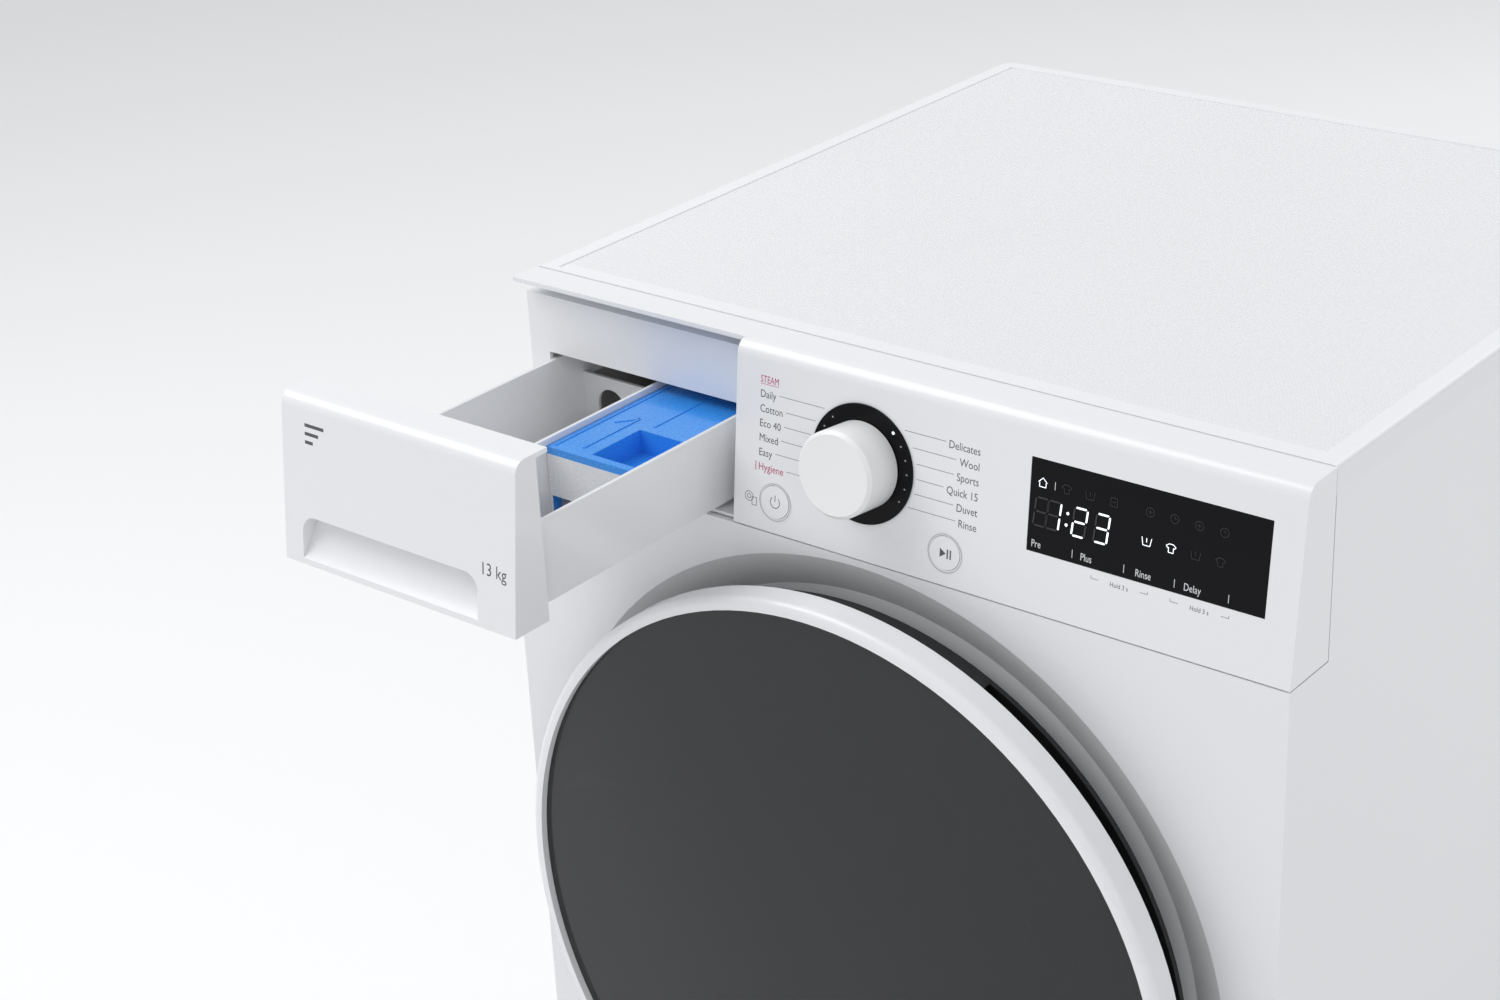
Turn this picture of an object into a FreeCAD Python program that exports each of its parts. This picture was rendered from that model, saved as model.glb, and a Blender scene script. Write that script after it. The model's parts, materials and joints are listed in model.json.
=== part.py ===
"""Front load washing machine, 600 mm class, as separate pieces in millimetres.

+X is the machine's right seen from its front, +Y runs from front to back, +Z is up.
The origin is on the floor, midway between the sides, and midway between the pulled-out
detergent drawer and the back cover.
"""
import math
import os

import FreeCAD
import Part

Vector = FreeCAD.Vector

# Overall sizes
WIDTH = 600.0
HEIGHT = 850.0
DEPTH = 615.0           # lower edge of the control panel to the back cover
DRAWER_OPEN = 203.0     # how far the drawer is pulled out

# Stock and fits
SHEET = 1.0             # steel panels
WALL = 3.0              # plastic mouldings
FIT = 0.3               # between pieces that seat in each other
RUN = 0.05              # radial clearance of pins and shafts
SEAM = 1.0              # joint between outer pieces

# Levels and planes of the cabinet
FLOOR_GAP = 18.0        # floor to the base tray
COVER_HEIGHT = 18.0     # skirt of the top cover
PANEL_HEIGHT = 121.5    # foot of the control panel to the top of the cover
LEAN = 6.5              # degrees that the control panel leans back
STRIP_DEPTH = 44.0      # control panel's depth at its top
TOP_DROP = 0.5          # control panel's top under the top cover's
TOP_ROUND = 9.5         # round between the panel's face and its top
REAR_INSET = 18.0       # rear sheet to the back of the cover
FLANGE = 15.0           # folded edges of the side panels
FRONT_RETURN = 14.0     # folded edge of the front panel

# Drawer bay and drawer
LEDGE = 2.0             # floor of the bay
BAY_DEPTH = 32.0        # face to the bay's back plate
STRIP_SETBACK = 20.0    # face to the strip over the bay
PLATE_DROP = 13.5       # bay plate's top under the panel's top
CAP_DROP = 8.0          # drawer front's top under the panel's top
CAP_SIDE = 30.0         # depth of the drawer front's side walls
CAP_LIP = 40.0          # depth of its top lip
CAP_ROUND = 9.0
SCOOP_LEFT = 16.0       # drawer front's left edge to the scoop
SCOOP_WIDTH = 152.0
SCOOP_TOP = 32.5        # scoop's upper edge over the drawer front's foot
SCOOP_FOOT = 4.0
SCOOP_DEPTH = 13.0
SCOOP_ROUND = 11.0
TRAY_WALL = 2.5
TRAY_SIDE = 19.0        # cabinet side to the tray
TRAY_WIDTH = 168.0
BAY_MARGIN = 13.0       # tray to the fascia beside the bay
TRAY_START = 24.0       # face to the tray's front wall
TRAY_LENGTH = 240.0
BACK_DROP = 18.0        # main compartment's back wall under the tray's top
TRAY_TAIL = 26.0        # guide rails behind the compartments
TRAY_BASE = 6.5         # tray's floor over the seam
TRAY_HEIGHT = 55.0
TRAY_ROUND = 22.0
RAIL_HEIGHT = 22.0
MAIN_WIDTH = 84.0       # main wash compartment
ARCH_WIDTH = 24.0
ARCH_HEIGHT = 26.0
CHUTE_LENGTH = 58.0
SIPHON_LENGTH = 130.0
SIPHON_DROP = 4.0       # its top under the tray's
SIPHON_HEIGHT = 34.0
BAY_CLEAR = 2.0         # opening round the tray
BAY_HEADROOM = 5.0

# Controls, as places on the leaning face
DIAL_X = 0.0
DIAL_RISE = 62.5        # dial over the panel's foot
DIAL_R = 38.5
DIAL_THICK = 1.2
KNOB_R = 28.0
KNOB_HEIGHT = 28.0
KNOB_BEVEL = 2.2
KNOB_LIFT = 0.8
KNOB_SHAFT_R = 3.0
SHAFT_HOLE_R = 12.0
ENCODER_R = 11.0
BUTTON_R = 10.8
BUTTON_RISE = 21.0
POWER_OFFSET = -66.5    # from the dial
START_OFFSET = 64.4
BUTTON_PROUD = 0.4
BUTTON_FLANGE = 2.4
BUTTON_TRAVEL = 1.2
SCREEN_X = 122.0
SCREEN_WIDTH = 158.0
SCREEN_RISE = 38.5
SCREEN_HEIGHT = 58.0
SCREEN_FLANGE = 3.0
BOARD_BACK = 34.0       # face foot to the circuit board
BOARD_THICK = 1.6

# Front panel and door
AXIS_DROP = 273.5       # control panel's foot to the door, drum and motor axis
DISH_MARGIN = 10.0      # dish outside the door ring
DISH_CONE = 25.0        # width of its sloping edge
DISH_DEPTH = 12.0
MOUTH_STEP = 80.0       # panel's opening inside the door ring
MOUTH_COLLAR = 12.0
RING_R = 258.0
RING_WALL = 6.0
RING_FRONT = 50.0       # face to the front of the door ring
RING_BACK = 30.0        # face to its back
RING_ROUND = 5.0
LIP_WIDTH = 5.0         # glass seat
LIP_DEPTH = 12.0
GLASS_BORDER = 9.0      # width of the ring round the glass
GLASS_DOME = 6.0
GLASS_THICK = 4.0
FRAME_STEP = 12.0       # inner frame inside the ring
GRIP_DEPTH = 18.0       # finger recess in the frame's edge
GRIP_ANGLE = 66.0       # it runs this many degrees each side of the hook
GRIP_END = 1.2          # degrees of wall at the recess's ends
FRAME_INNER_STEP = 6.0  # its opening inside the panel's
FRAME_BACK = 6.0
BOWL_STEP = 18.0        # bowl inside the frame's opening
BOWL_TAPER = 42.0
BOWL_DEPTH = 95.0
BOWL_THICK = 5.0
HINGE_INSET = 18.0      # hinge axis inside the ring's edge
HINGE_OUT = 30.0        # face to the hinge axis
PIN_R = 3.0
KNUCKLE_R = 5.5
KNUCKLE_LENGTH = 20.0
HINGE_NOTCH = 46.0      # half height of the clear space at the hinge
LATCH_INSET = 34.0      # hook inside the frame's edge

# Tub, drum and drive, as distances behind the face
TUB_R = 265.0
TUB_WALL = 3.0
TUB_FRONT = 85.0
TUB_SPLIT = 290.0
TUB_BACK = 495.0
TUB_MOUTH_STEP = 12.0   # tub's mouth outside the panel's opening
TUB_COLLAR = 10.0
HUB_R = 45.0
HUB_LENGTH = 45.0
BEARING_WALL = 15.0
DRUM_GAP = 17.0
DRUM_WALL = 1.5
DRUM_FRONT = 105.0
DRUM_BACK = 470.0
DRUM_MOUTH_STEP = 26.0  # drum's mouth inside the tub's
LIFTER_HEIGHT = 45.0
LIFTER_BASE = 62.0
LIFTER_LENGTH = 260.0
SHAFT_R = 15.0
STATOR_GAP = 5.0        # hub's end to the stator
STATOR_DEPTH = 22.0
ROTOR_GAP = 4.0
STATOR_R = 126.0
STATOR_BORE_R = 62.0
ROTOR_RIM = 5.5
AIR_GAP = 1.5
SUMP_HALF = 62.0
SUMP_DROP = 289.0       # axis to the sump's floor
BOUNCE = 8.0            # tub's travel up and down

# Suspension
SPRING_INSET = 38.0     # from the cabinet's side
SPRING_DEPTH = 345.0
SPRING_R = 11.0
SPRING_WIRE = 3.0
SPRING_FOOT_RISE = 127.0  # over the axis
SPRING_HEAD_DROP = 34.0   # under the side panels' top
DAMPER_X = 150.0
DAMPER_DEPTH = 320.0
DAMPER_R = 18.0
DAMPER_TOP_Z = 165.0
ROD_R = 6.0
LUG_DROP_Z = 229.0      # axis to the foot of the dampers' lugs

# Water path
HOUSING_END = 305.0     # face to the back of the dispenser housing
HOUSING_WALL = 2.5
HOUSING_MARGIN = 7.0
HOUSING_DROP = 4.0      # its roof under the side panels' top
OUTLET_DEPTH = 262.0
VALVE_X = -200.0
VALVE_DROP = 46.0       # under the side panels' top
PORT_GAP = 50.0
PORT_R = 13.2
HOSE_R = 9.0
HOSE_BORE_R = 6.5
PUMP_X = 205.0
PUMP_Z = 112.0
FILTER_R = 28.0
SPIGOT_INSET = 28.0     # from the cabinet's side
SPIGOT_Z = 640.0
SPIGOT_R = 10.0
FLAP_X = 150.0
FLAP_WIDTH = 112.0
FLAP_Z = 60.0
FLAP_HEIGHT = 108.0
FLAP_AXIS_RISE = 6.0    # flap's foot to its pivots
FLAP_PIN_R = 2.0

# Base and feet
TRAY_RIM_Z = 62.0
FOOT_SIDE = 50.0        # from the cabinet's side
FOOT_INSET = 45.0
FOOT_R = 21.0
STEM_R = 5.0

# Rear sheet and cover
SERVICE_R = 200.0
GLAND_R = 11.0
GLAND_SIDE = 38.0
GLAND_Z = 110.0
TRANSIT_R = 15.0
TRANSIT_X = 228.0
TRANSIT_LOW = 330.0
TRANSIT_HIGH = 600.0
COVER_HALF = 196.0
COVER_LOW = 248.0
COVER_HIGH = 662.0
COVER_ROUND = 30.0
COVER_RIM = 10.0

# Smaller details
BOSS_R = 22.0
BOSS_TOP = 46.0
PAD_HEIGHT = 9.0
FLAP_EAR = 4.0
FLAP_THICK = 2.5
BAY_LIP = 4.0           # face to the bay's floor
COVER_REACH = 612.0     # face to the back of the top cover
COVER_CORNER = 12.0
COVER_EDGE = 3.0
COVER_BORDER = 14.0
FIELD_FRONT = 6.0
FIELD_SINK = 0.8
RAIL_DEPTH = 48.0
RAIL_WIDTH = 40.0
BUTTON_BASE = 2.0
SWITCH_R = 5.0
ENCODER_DEEP = 12.0     # knob shaft's reach behind the face
BOARD_MARGIN = 4.0
BOARD_POST = 14.0
LUG_INSET = 14.0
LUG_WIDTH = 22.0
LUG_HEIGHT = 16.0
LUG_DROP = 6.0
POCKET_LEFT = 34.0      # siphon cover's left edge to its pocket
POCKET_MARGIN = 6.0     # pocket to the cover's front and right edges
POCKET_LENGTH = 46.0
POCKET_DEEP = 16.0
POCKET_MOUTH_R = 9.0
SPOUT_R = 20.0
SPOUT_LENGTH = 26.0
INLET_RISE = 219.0      # tub's inlet over the axis
NOZZLE = 14.0
RUNNER_INSET = 22.0
NOTCH_WIDTH = 36.0
PLATE_LEFT = 6.0
PLATE_RIGHT = 58.0
ARM_HALF = 4.5
LEAF_END = 62.0
LATCH_SLOT = 11.0
HOOK_REACH = 14.0
HOOK_THICK = 4.0
HOOK_PIN_R = 2.5
HOOK_BARB = 6.5         # hook's reach to the side
HOOK_OUT = 22.0         # face to the hook's pivot
EAR = 3.0
EAR_HALF = 6.0
LOCK_LEFT = 14.0
LOCK_RIGHT = 26.0
LOCK_DEPTH = 22.0
LOCK_HALF = 34.0
GASKET_WALL = 4.0
GASKET_LIP = 20.0       # lip inside the panel's opening
TUB_COLLAR_WALL = 4.0
FLANGE_THICK = 4.0
FLANGE_HIGH = 10.0
SUMP_START = 8.0
RIBS = 12
RIB_HIGH = 12.0
STATOR_POSTS = 6
POST_R = 8.0
POST_PITCH_R = 76.0
STATOR_TEETH = 24
LUG_HALF = 12.0
SUMP_SPIGOT_X = 40.0
SUMP_SPIGOT_DEPTH = 330.0
SUMP_HOSE_R = 16.0
SUMP_HOSE_BORE = 13.0
SUMP_BEND = 34.0
SUMP_RUN = 52.0
HEATER_HALF = 38.0
HEATER_RISE = 20.0      # over the sump's floor
HEATER_R = 4.0
UPPER_START = 300.0
UPPER_END = 480.0
UPPER_LEFT = -95.0
UPPER_RIGHT = 175.0
UPPER_RISE = 331.0
LOWER_THICK = 34.0
SPIDER_HUB_R = 28.0
PISTON_Z = 84.0
PUMP_START = 22.0
PUMP_LENGTH = 176.0
FILTER_LENGTH = 88.0
CHAMBER_R = 38.0
CHAMBER_LENGTH = 34.0
SUMP_PORT_DEPTH = 52.0
DRAIN_R = 11.0
DRAIN_BORE_R = 8.5
DRAIN_BEND = 22.0
DRAIN_REAR = 36.0
DRAIN_Z = 104.0
IMPELLER_SHAFT_R = 2.5
SHAFT_SEAT = 12.0
CAP_GRIP = 14.0
BASKET_SLOTS = 4
PORT_INSET = 2.0
GLAND_BORE = 4.0

# Worked out from the sizes above
HALF = WIDTH / 2
SLOPE = math.tan(math.radians(LEAN))
FACE_Y = (DRAWER_OPEN - (LEDGE + SEAM) * SLOPE - DEPTH) / 2
BACK_Y = FACE_Y + DEPTH
REAR_Y = BACK_Y - REAR_INSET
JOINT_Y = FACE_Y + STRIP_DEPTH
COVER_Z = HEIGHT - COVER_HEIGHT
PANEL_TOP = HEIGHT - TOP_DROP
SEAM_Z = HEIGHT - PANEL_HEIGHT
AXIS_Z = SEAM_Z - AXIS_DROP
BAY_X = TRAY_SIDE + TRAY_WIDTH + BAY_MARGIN - HALF
DIAL_Z = SEAM_Z + DIAL_RISE
BUTTON_Z = SEAM_Z + BUTTON_RISE
SCREEN_Z = SEAM_Z + SCREEN_RISE
POWER_X = DIAL_X + POWER_OFFSET
START_X = DIAL_X + START_OFFSET
CAP_FOOT = SEAM_Z + LEDGE + SEAM
CAP_TOP = PANEL_TOP - CAP_DROP
PLATE_TOP = PANEL_TOP - PLATE_DROP
TRAY_X0 = TRAY_SIDE - HALF
TRAY_X1 = TRAY_X0 + TRAY_WIDTH
TRAY_Y0 = FACE_Y + TRAY_START
TRAY_Y1 = TRAY_Y0 + TRAY_LENGTH
TRAY_Z0 = SEAM_Z + TRAY_BASE
TRAY_Z1 = TRAY_Z0 + TRAY_HEIGHT
DIVIDER_X = TRAY_X0 + TRAY_WALL + MAIN_WIDTH
HINGE_Y = FACE_Y - HINGE_OUT
OUTLET_X = TRAY_X0 + TRAY_WIDTH / 2
VALVE_Z = COVER_Z - VALVE_DROP
DISH_R = RING_R + DISH_MARGIN
DISH_INNER_R = DISH_R - DISH_CONE
GLASS_R = RING_R - GLASS_BORDER
MOUTH_R = RING_R - MOUTH_STEP
TUB_MOUTH_R = MOUTH_R + TUB_MOUTH_STEP
LIP_R = GLASS_R - LIP_WIDTH
FRAME_R = RING_R - FRAME_STEP
FRAME_INNER_R = MOUTH_R - FRAME_INNER_STEP
BOWL_R = FRAME_INNER_R - BOWL_STEP
BOWL_END_R = BOWL_R - BOWL_TAPER
GASKET_LIP_R = MOUTH_R - GASKET_LIP
HINGE_X = HINGE_INSET - RING_R
LATCH_X = FRAME_R - LATCH_INSET
TUB_INNER_R = TUB_R - TUB_WALL
DRUM_R = TUB_INNER_R - DRUM_GAP
DRUM_MOUTH_R = TUB_MOUTH_R - DRUM_MOUTH_STEP - TUB_COLLAR_WALL
HUB_END = TUB_BACK + HUB_LENGTH
BEARING_R = SHAFT_R + BEARING_WALL
STATOR_FRONT = HUB_END + STATOR_GAP
ROTOR_BACK = STATOR_FRONT + STATOR_DEPTH + ROTOR_GAP + WALL
ROTOR_R = STATOR_R + AIR_GAP + ROTOR_RIM
SUMP_Z = AXIS_Z - SUMP_DROP
HEATER_Z = SUMP_Z + HEATER_RISE
LUG_Z = AXIS_Z - LUG_DROP_Z
INLET_TOP = AXIS_Z + INLET_RISE
UPPER_TOP = AXIS_Z + UPPER_RISE
SPRING_X = HALF - SPRING_INSET
SPRING_FOOT_Z = AXIS_Z + SPRING_FOOT_RISE
SPRING_HEAD_Z = COVER_Z - SPRING_HEAD_DROP
SPIGOT_X = HALF - SPIGOT_INSET
GLAND_X = HALF - GLAND_SIDE
FOOT_X = HALF - FOOT_SIDE
TRANSIT_PLACES = [(x, z) for x in (-TRANSIT_X, TRANSIT_X) for z in (TRANSIT_LOW, TRANSIT_HIGH)]
COVER_BACK_Y = FACE_Y + COVER_REACH
HOOK_Y = FACE_Y - HOOK_OUT
FOOT_NAMES = ("front_left", "front_right", "rear_left", "rear_right")
FOOT_PLACES = [(x, y) for y in (FACE_Y + FOOT_INSET, REAR_Y - FOOT_INSET) for x in (-FOOT_X, FOOT_X)]


# Plain solids

def box(x0, x1, y0, y1, z0, z1):
    return Part.makeBox(x1 - x0, y1 - y0, z1 - z0, Vector(x0, y0, z0))


def rod_x(radius, x0, x1, y, z):
    return Part.makeCylinder(radius, x1 - x0, Vector(x0, y, z), Vector(1, 0, 0))


def rod_y(radius, y0, y1, x=0.0, z=AXIS_Z):
    return Part.makeCylinder(radius, y1 - y0, Vector(x, y0, z), Vector(0, 1, 0))


def rod_z(radius, z0, z1, x, y):
    return Part.makeCylinder(radius, z1 - z0, Vector(x, y, z0), Vector(0, 0, 1))


def ring_y(outer, inner, y0, y1, x=0.0, z=AXIS_Z):
    return rod_y(outer, y0, y1, x, z).cut(rod_y(inner, y0 - 1, y1 + 1, x, z))


def outline(points):
    """A face inside straight edges, and arcs where a point is a (middle, end) pair."""
    edges = []
    last = points[0]
    for point in points[1:] + points[:1]:
        if isinstance(point, tuple):
            edges.append(Part.Arc(last, point[0], point[1]).toShape())
            last = point[1]
        elif point.distanceToPoint(last) > FIT / 10:
            edges.append(Part.LineSegment(last, point).toShape())
            last = point
    return Part.Face(Part.Wire(edges))


def prism_x(points, x0, x1):
    """Extrudes an outline of (y, z) points along X. Arcs are ((y, z), (y, z)) pairs."""
    def place(point):
        if isinstance(point[0], tuple):
            return (place(point[0]), place(point[1]))
        return Vector(x0, point[0], point[1])
    return outline([place(point) for point in points]).extrude(Vector(x1 - x0, 0, 0))


def prism_y(points, y0, y1):
    """Extrudes an outline of (x, z) points along Y."""
    return outline([Vector(x, y0, z) for x, z in points]).extrude(Vector(0, y1 - y0, 0))


def prism_z(points, z0, z1):
    """Extrudes an outline of (x, y) points along Z."""
    return outline([Vector(x, y, z0) for x, y in points]).extrude(Vector(0, 0, z1 - z0))


def sector(outer, inner, y0, y1, angle):
    """Part of a ring round the drum axis, an angle each side of +X."""
    far = 2 * outer
    reach = far * math.tan(math.radians(90 - angle))
    wedge = prism_y([(0, AXIS_Z), (reach, AXIS_Z + far), (far + reach, AXIS_Z + far),
                     (far + reach, AXIS_Z - far), (reach, AXIS_Z - far)], y0, y1)
    return ring_y(outer, inner, y0, y1).common(wedge)


def turned(points):
    """Revolves an outline of (radius, y) points round the drum axis."""
    def place(point):
        if isinstance(point[0], tuple):
            return (place(point[0]), place(point[1]))
        return Vector(point[0], point[1], AXIS_Z)
    face = outline([place(point) for point in points])
    return face.revolve(Vector(0, 0, AXIS_Z), Vector(0, 1, 0), 360)


def edges_at(shape, test):
    """Edges whose two ends pass a test."""
    picked = []
    for edge in shape.Edges:
        if all(test(vertex.Point) for vertex in edge.Vertexes) and len(edge.Vertexes) == 2:
            picked.append(edge)
    return picked


def near(value, target):
    return abs(value - target) < 0.01


def face_y(z):
    """Y of the control panel's leaning face at a height."""
    return FACE_Y + (z - SEAM_Z) * SLOPE


def on_face(shape, x, z):
    """Moves a shape built along +Z onto the leaning face, with +Z outwards."""
    placed = shape.copy()
    placed.rotate(Vector(0, 0, 0), Vector(1, 0, 0), 90 - LEAN)
    placed.translate(Vector(x, face_y(z), z))
    return placed


def tube(points, radius, bore, bend):
    """A hose along straight runs joined by tangent arcs."""
    edges = []
    start = points[0]
    for before, corner, after in zip(points, points[1:], points[2:]):
        back = (before - corner).normalize()
        ahead = (after - corner).normalize()
        half = back.getAngle(ahead) / 2
        setback = bend / math.tan(half)
        middle = (back + ahead).normalize()
        centre = corner + middle * (bend / math.sin(half))
        enter = corner + back * setback
        leave = corner + ahead * setback
        edges.append(Part.LineSegment(start, enter).toShape())
        edges.append(Part.Arc(enter, centre - middle * bend, leave).toShape())
        start = leave
    edges.append(Part.LineSegment(start, points[-1]).toShape())
    path = Part.Wire(edges)
    way = (points[1] - points[0]).normalize()
    solids = []
    for size in (radius, bore):
        profile = Part.Wire(Part.Circle(points[0], way, size).toShape())
        solids.append(path.makePipeShell([profile], True, True))
    length = sum(edge.Length for edge in edges)
    print("hose length", round(length, 1), "volume ratio",
          round(solids[0].Volume / (math.pi * radius ** 2 * length), 4))
    return solids[0].cut(solids[1])


def shift_y(shape, distance):
    moved = shape.copy()
    moved.translate(Vector(0, distance, 0))
    return moved


def fuse(first, *others):
    return first.multiFuse(others).removeSplitter()


def mirrored(shape):
    return shape.mirror(Vector(0, 0, 0), Vector(1, 0, 0))


def save(node, *shapes):
    shape = shapes[0] if len(shapes) == 1 else Part.makeCompound(shapes)
    shape.exportStep("parts/" + node + ".step")


# Cabinet

def side_panel():
    """Left side panel: a sheet with its four edges folded in."""
    y0 = FACE_Y + FRONT_RETURN
    y1 = REAR_Y
    z0 = FLOOR_GAP
    x0 = -HALF
    x1 = x0 + FLANGE
    sheet = box(x0, x0 + SHEET, y0, y1, z0, COVER_Z)
    front = box(x0, x1, y0, y0 + SHEET, z0, SEAM_Z - SEAM)
    rear = box(x0, x1, y1 - SHEET, y1, z0, COVER_Z)
    top = box(x0, x1, JOINT_Y + SEAM, y1, COVER_Z - SHEET, COVER_Z)
    clear = box(x0 - 1, x1 + 1, y0 - 1, JOINT_Y + SEAM, SEAM_Z - SEAM, COVER_Z + 1)
    return fuse(sheet, front, rear, top).cut(clear)


def rear_frame():
    """Rear sheet with the service opening and the holes for ports and transit bolts."""
    sheet = box(-HALF + SHEET, HALF - SHEET, REAR_Y, REAR_Y + SHEET, FLOOR_GAP, COVER_Z - FIT)
    holes = [rod_y(SERVICE_R, REAR_Y - 1, REAR_Y + 2)]
    for x in (VALVE_X - PORT_GAP / 2, VALVE_X + PORT_GAP / 2):
        holes.append(rod_y(PORT_R + 2, REAR_Y - 1, REAR_Y + 2, x, VALVE_Z))
    holes.append(rod_y(SPIGOT_R + 2, REAR_Y - 1, REAR_Y + 2, SPIGOT_X, SPIGOT_Z))
    holes.append(rod_y(GLAND_R + FIT, REAR_Y - 1, REAR_Y + 2, -GLAND_X, GLAND_Z))
    for x, z in TRANSIT_PLACES:
        holes.append(rod_y(TRANSIT_R + FIT, REAR_Y - 1, REAR_Y + 2, x, z))
    return sheet.cut(holes)


def back_cover():
    """Pressed cover over the motor."""
    y0 = REAR_Y + SHEET
    outer = box(-COVER_HALF, COVER_HALF, y0, BACK_Y, COVER_LOW, COVER_HIGH)
    corners = edges_at(outer, lambda p: True)
    upright = [edge for edge in corners if near(edge.Vertexes[0].X, edge.Vertexes[1].X)
               and near(edge.Vertexes[0].Z, edge.Vertexes[1].Z)]
    outer = outer.makeFillet(COVER_ROUND, upright)
    inner = outer.copy()
    inner.scale((COVER_HALF - SHEET) / COVER_HALF, Vector(0, y0, (COVER_LOW + COVER_HIGH) / 2))
    inner = inner.common(box(-HALF, HALF, y0 - 1, BACK_Y - SHEET, 0, HEIGHT))
    rim = box(-COVER_HALF - COVER_RIM, COVER_HALF + COVER_RIM, y0, y0 + SHEET,
              COVER_LOW - COVER_RIM, COVER_HIGH + COVER_RIM)
    return fuse(rim, outer).cut(inner)


def base_tray():
    """Plastic base with a rim, four foot bosses and two damper seats."""
    x1 = HALF - SHEET - FIT
    y0 = FACE_Y + FRONT_RETURN + SHEET + FIT
    y1 = REAR_Y - SHEET - FIT
    outer = box(-x1, x1, y0, y1, FLOOR_GAP, TRAY_RIM_Z)
    inner = box(-x1 + WALL, x1 - WALL, y0 + WALL, y1 - WALL, FLOOR_GAP + WALL, TRAY_RIM_Z + 1)
    bosses = [rod_z(BOSS_R, FLOOR_GAP, BOSS_TOP, x, y) for x, y in FOOT_PLACES]
    bosses += [rod_z(DAMPER_R, FLOOR_GAP, BOSS_TOP, x, FACE_Y + DAMPER_DEPTH)
               for x in (-DAMPER_X, DAMPER_X)]
    bosses.append(box(PUMP_X - FILTER_R, PUMP_X + FILTER_R, FACE_Y + PUMP_START,
                      FACE_Y + PUMP_START + WALL * 3, FLOOR_GAP, PUMP_Z - FILTER_R + WALL))
    for x in (FLAP_X - FLAP_EAR - FIT, FLAP_X + FLAP_WIDTH + FIT):
        bosses.append(box(x, x + FLAP_EAR, y0, y0 + WALL, FLOOR_GAP, FLAP_Z + FLAP_AXIS_RISE * 2))
        bosses.append(box(x, x + FLAP_EAR, FACE_Y + SHEET + FIT, y0 + WALL,
                          FLAP_Z + FLAP_AXIS_RISE - WALL * 1.5, FLAP_Z + FLAP_AXIS_RISE + WALL * 1.5))
    window = box(FLAP_X - FIT, FLAP_X + FLAP_WIDTH + FIT, y0 - 1, y0 + WALL + 1, FLAP_Z - WALL,
                 TRAY_RIM_Z + 1)
    ears = [rod_x(FLAP_PIN_R + RUN, FLAP_X - 2 * FLAP_EAR, FLAP_X + FLAP_WIDTH + 2 * FLAP_EAR,
                  FACE_Y + FLAP_AXIS_RISE, FLAP_Z + FLAP_AXIS_RISE)]
    stems = [rod_z(STEM_R + RUN, FLOOR_GAP - 1, BOSS_TOP + 1, x, y) for x, y in FOOT_PLACES]
    body = fuse(outer.cut(inner).cut(window), *bosses)
    seat = rod_y(FILTER_R + FIT, y0 - 1, y1, PUMP_X, PUMP_Z)
    return body.cut(ears + stems + [seat])


def front_panel():
    """Steel front, dished round the door, with a collar for the gasket."""
    y0 = FACE_Y
    z1 = SEAM_Z - SEAM
    back = y0 + FRONT_RETURN
    skin = box(-HALF, HALF, y0, y0 + SHEET, FLOOR_GAP, z1)
    skin = skin.cut(rod_y(DISH_R, y0 - 1, y0 + 2))
    dish = turned([(DISH_R, y0), (DISH_INNER_R, y0 + DISH_DEPTH), (MOUTH_R, y0 + DISH_DEPTH),
                   (MOUTH_R, y0 + DISH_DEPTH + MOUTH_COLLAR),
                   (MOUTH_R + SHEET, y0 + DISH_DEPTH + MOUTH_COLLAR),
                   (MOUTH_R + SHEET, y0 + DISH_DEPTH + SHEET),
                   (DISH_INNER_R, y0 + DISH_DEPTH + SHEET),
                   (DISH_R + SHEET, y0 + SHEET), (DISH_R + SHEET, y0)])
    left = box(-HALF, -HALF + SHEET, y0, back, FLOOR_GAP, z1)
    right = box(HALF - SHEET, HALF, y0, back, FLOOR_GAP, z1)
    top = box(-HALF, HALF, y0, back, z1 - SHEET, z1)
    foot = box(-HALF, HALF, y0, back, FLOOR_GAP, FLOOR_GAP + SHEET)
    panel = fuse(skin, dish, left, right, top, foot)
    flap = box(FLAP_X - SEAM, FLAP_X + FLAP_WIDTH + SEAM, y0 - 1, y0 + 2, FLAP_Z - SEAM,
               FLAP_Z + FLAP_HEIGHT + SEAM)
    slot = box(LATCH_X - LATCH_SLOT, LATCH_X + LATCH_SLOT, y0, y0 + 2 * DISH_DEPTH,
               AXIS_Z - LATCH_SLOT, AXIS_Z + LATCH_SLOT)
    return panel.cut([flap, slot])


def top_cover():
    """Moulded cover: a skirt, a smooth rim and a slightly sunk field."""
    outer = box(-HALF, HALF, JOINT_Y + SEAM / 2, COVER_BACK_Y, COVER_Z, HEIGHT)
    sides = [edge for edge in edges_at(outer, lambda p: p.y > JOINT_Y + SEAM)
             if near(edge.Vertexes[0].Y, edge.Vertexes[1].Y)
             and near(edge.Vertexes[0].X, edge.Vertexes[1].X)]
    outer = outer.makeFillet(COVER_CORNER, sides)
    rim = [edge for edge in outer.Edges if all(near(v.Z, HEIGHT) for v in edge.Vertexes)
           and max(v.Y for v in edge.Vertexes) > JOINT_Y + SEAM]
    outer = outer.makeFillet(COVER_EDGE, rim)
    inner = box(-HALF + WALL, HALF - WALL, JOINT_Y + SEAM / 2 + WALL, COVER_BACK_Y - WALL,
                COVER_Z - 1, HEIGHT - WALL - FIELD_SINK)
    field = box(-HALF + COVER_BORDER, HALF - COVER_BORDER, JOINT_Y + SEAM / 2 + FIELD_FRONT,
                COVER_BACK_Y - COVER_BORDER, HEIGHT - FIELD_SINK, HEIGHT + 1)
    seat = box(-HALF + WALL, HALF - WALL, JOINT_Y, COVER_BACK_Y + 1, COVER_Z - 1, COVER_Z)
    return outer.cut([inner, field, seat])


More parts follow.
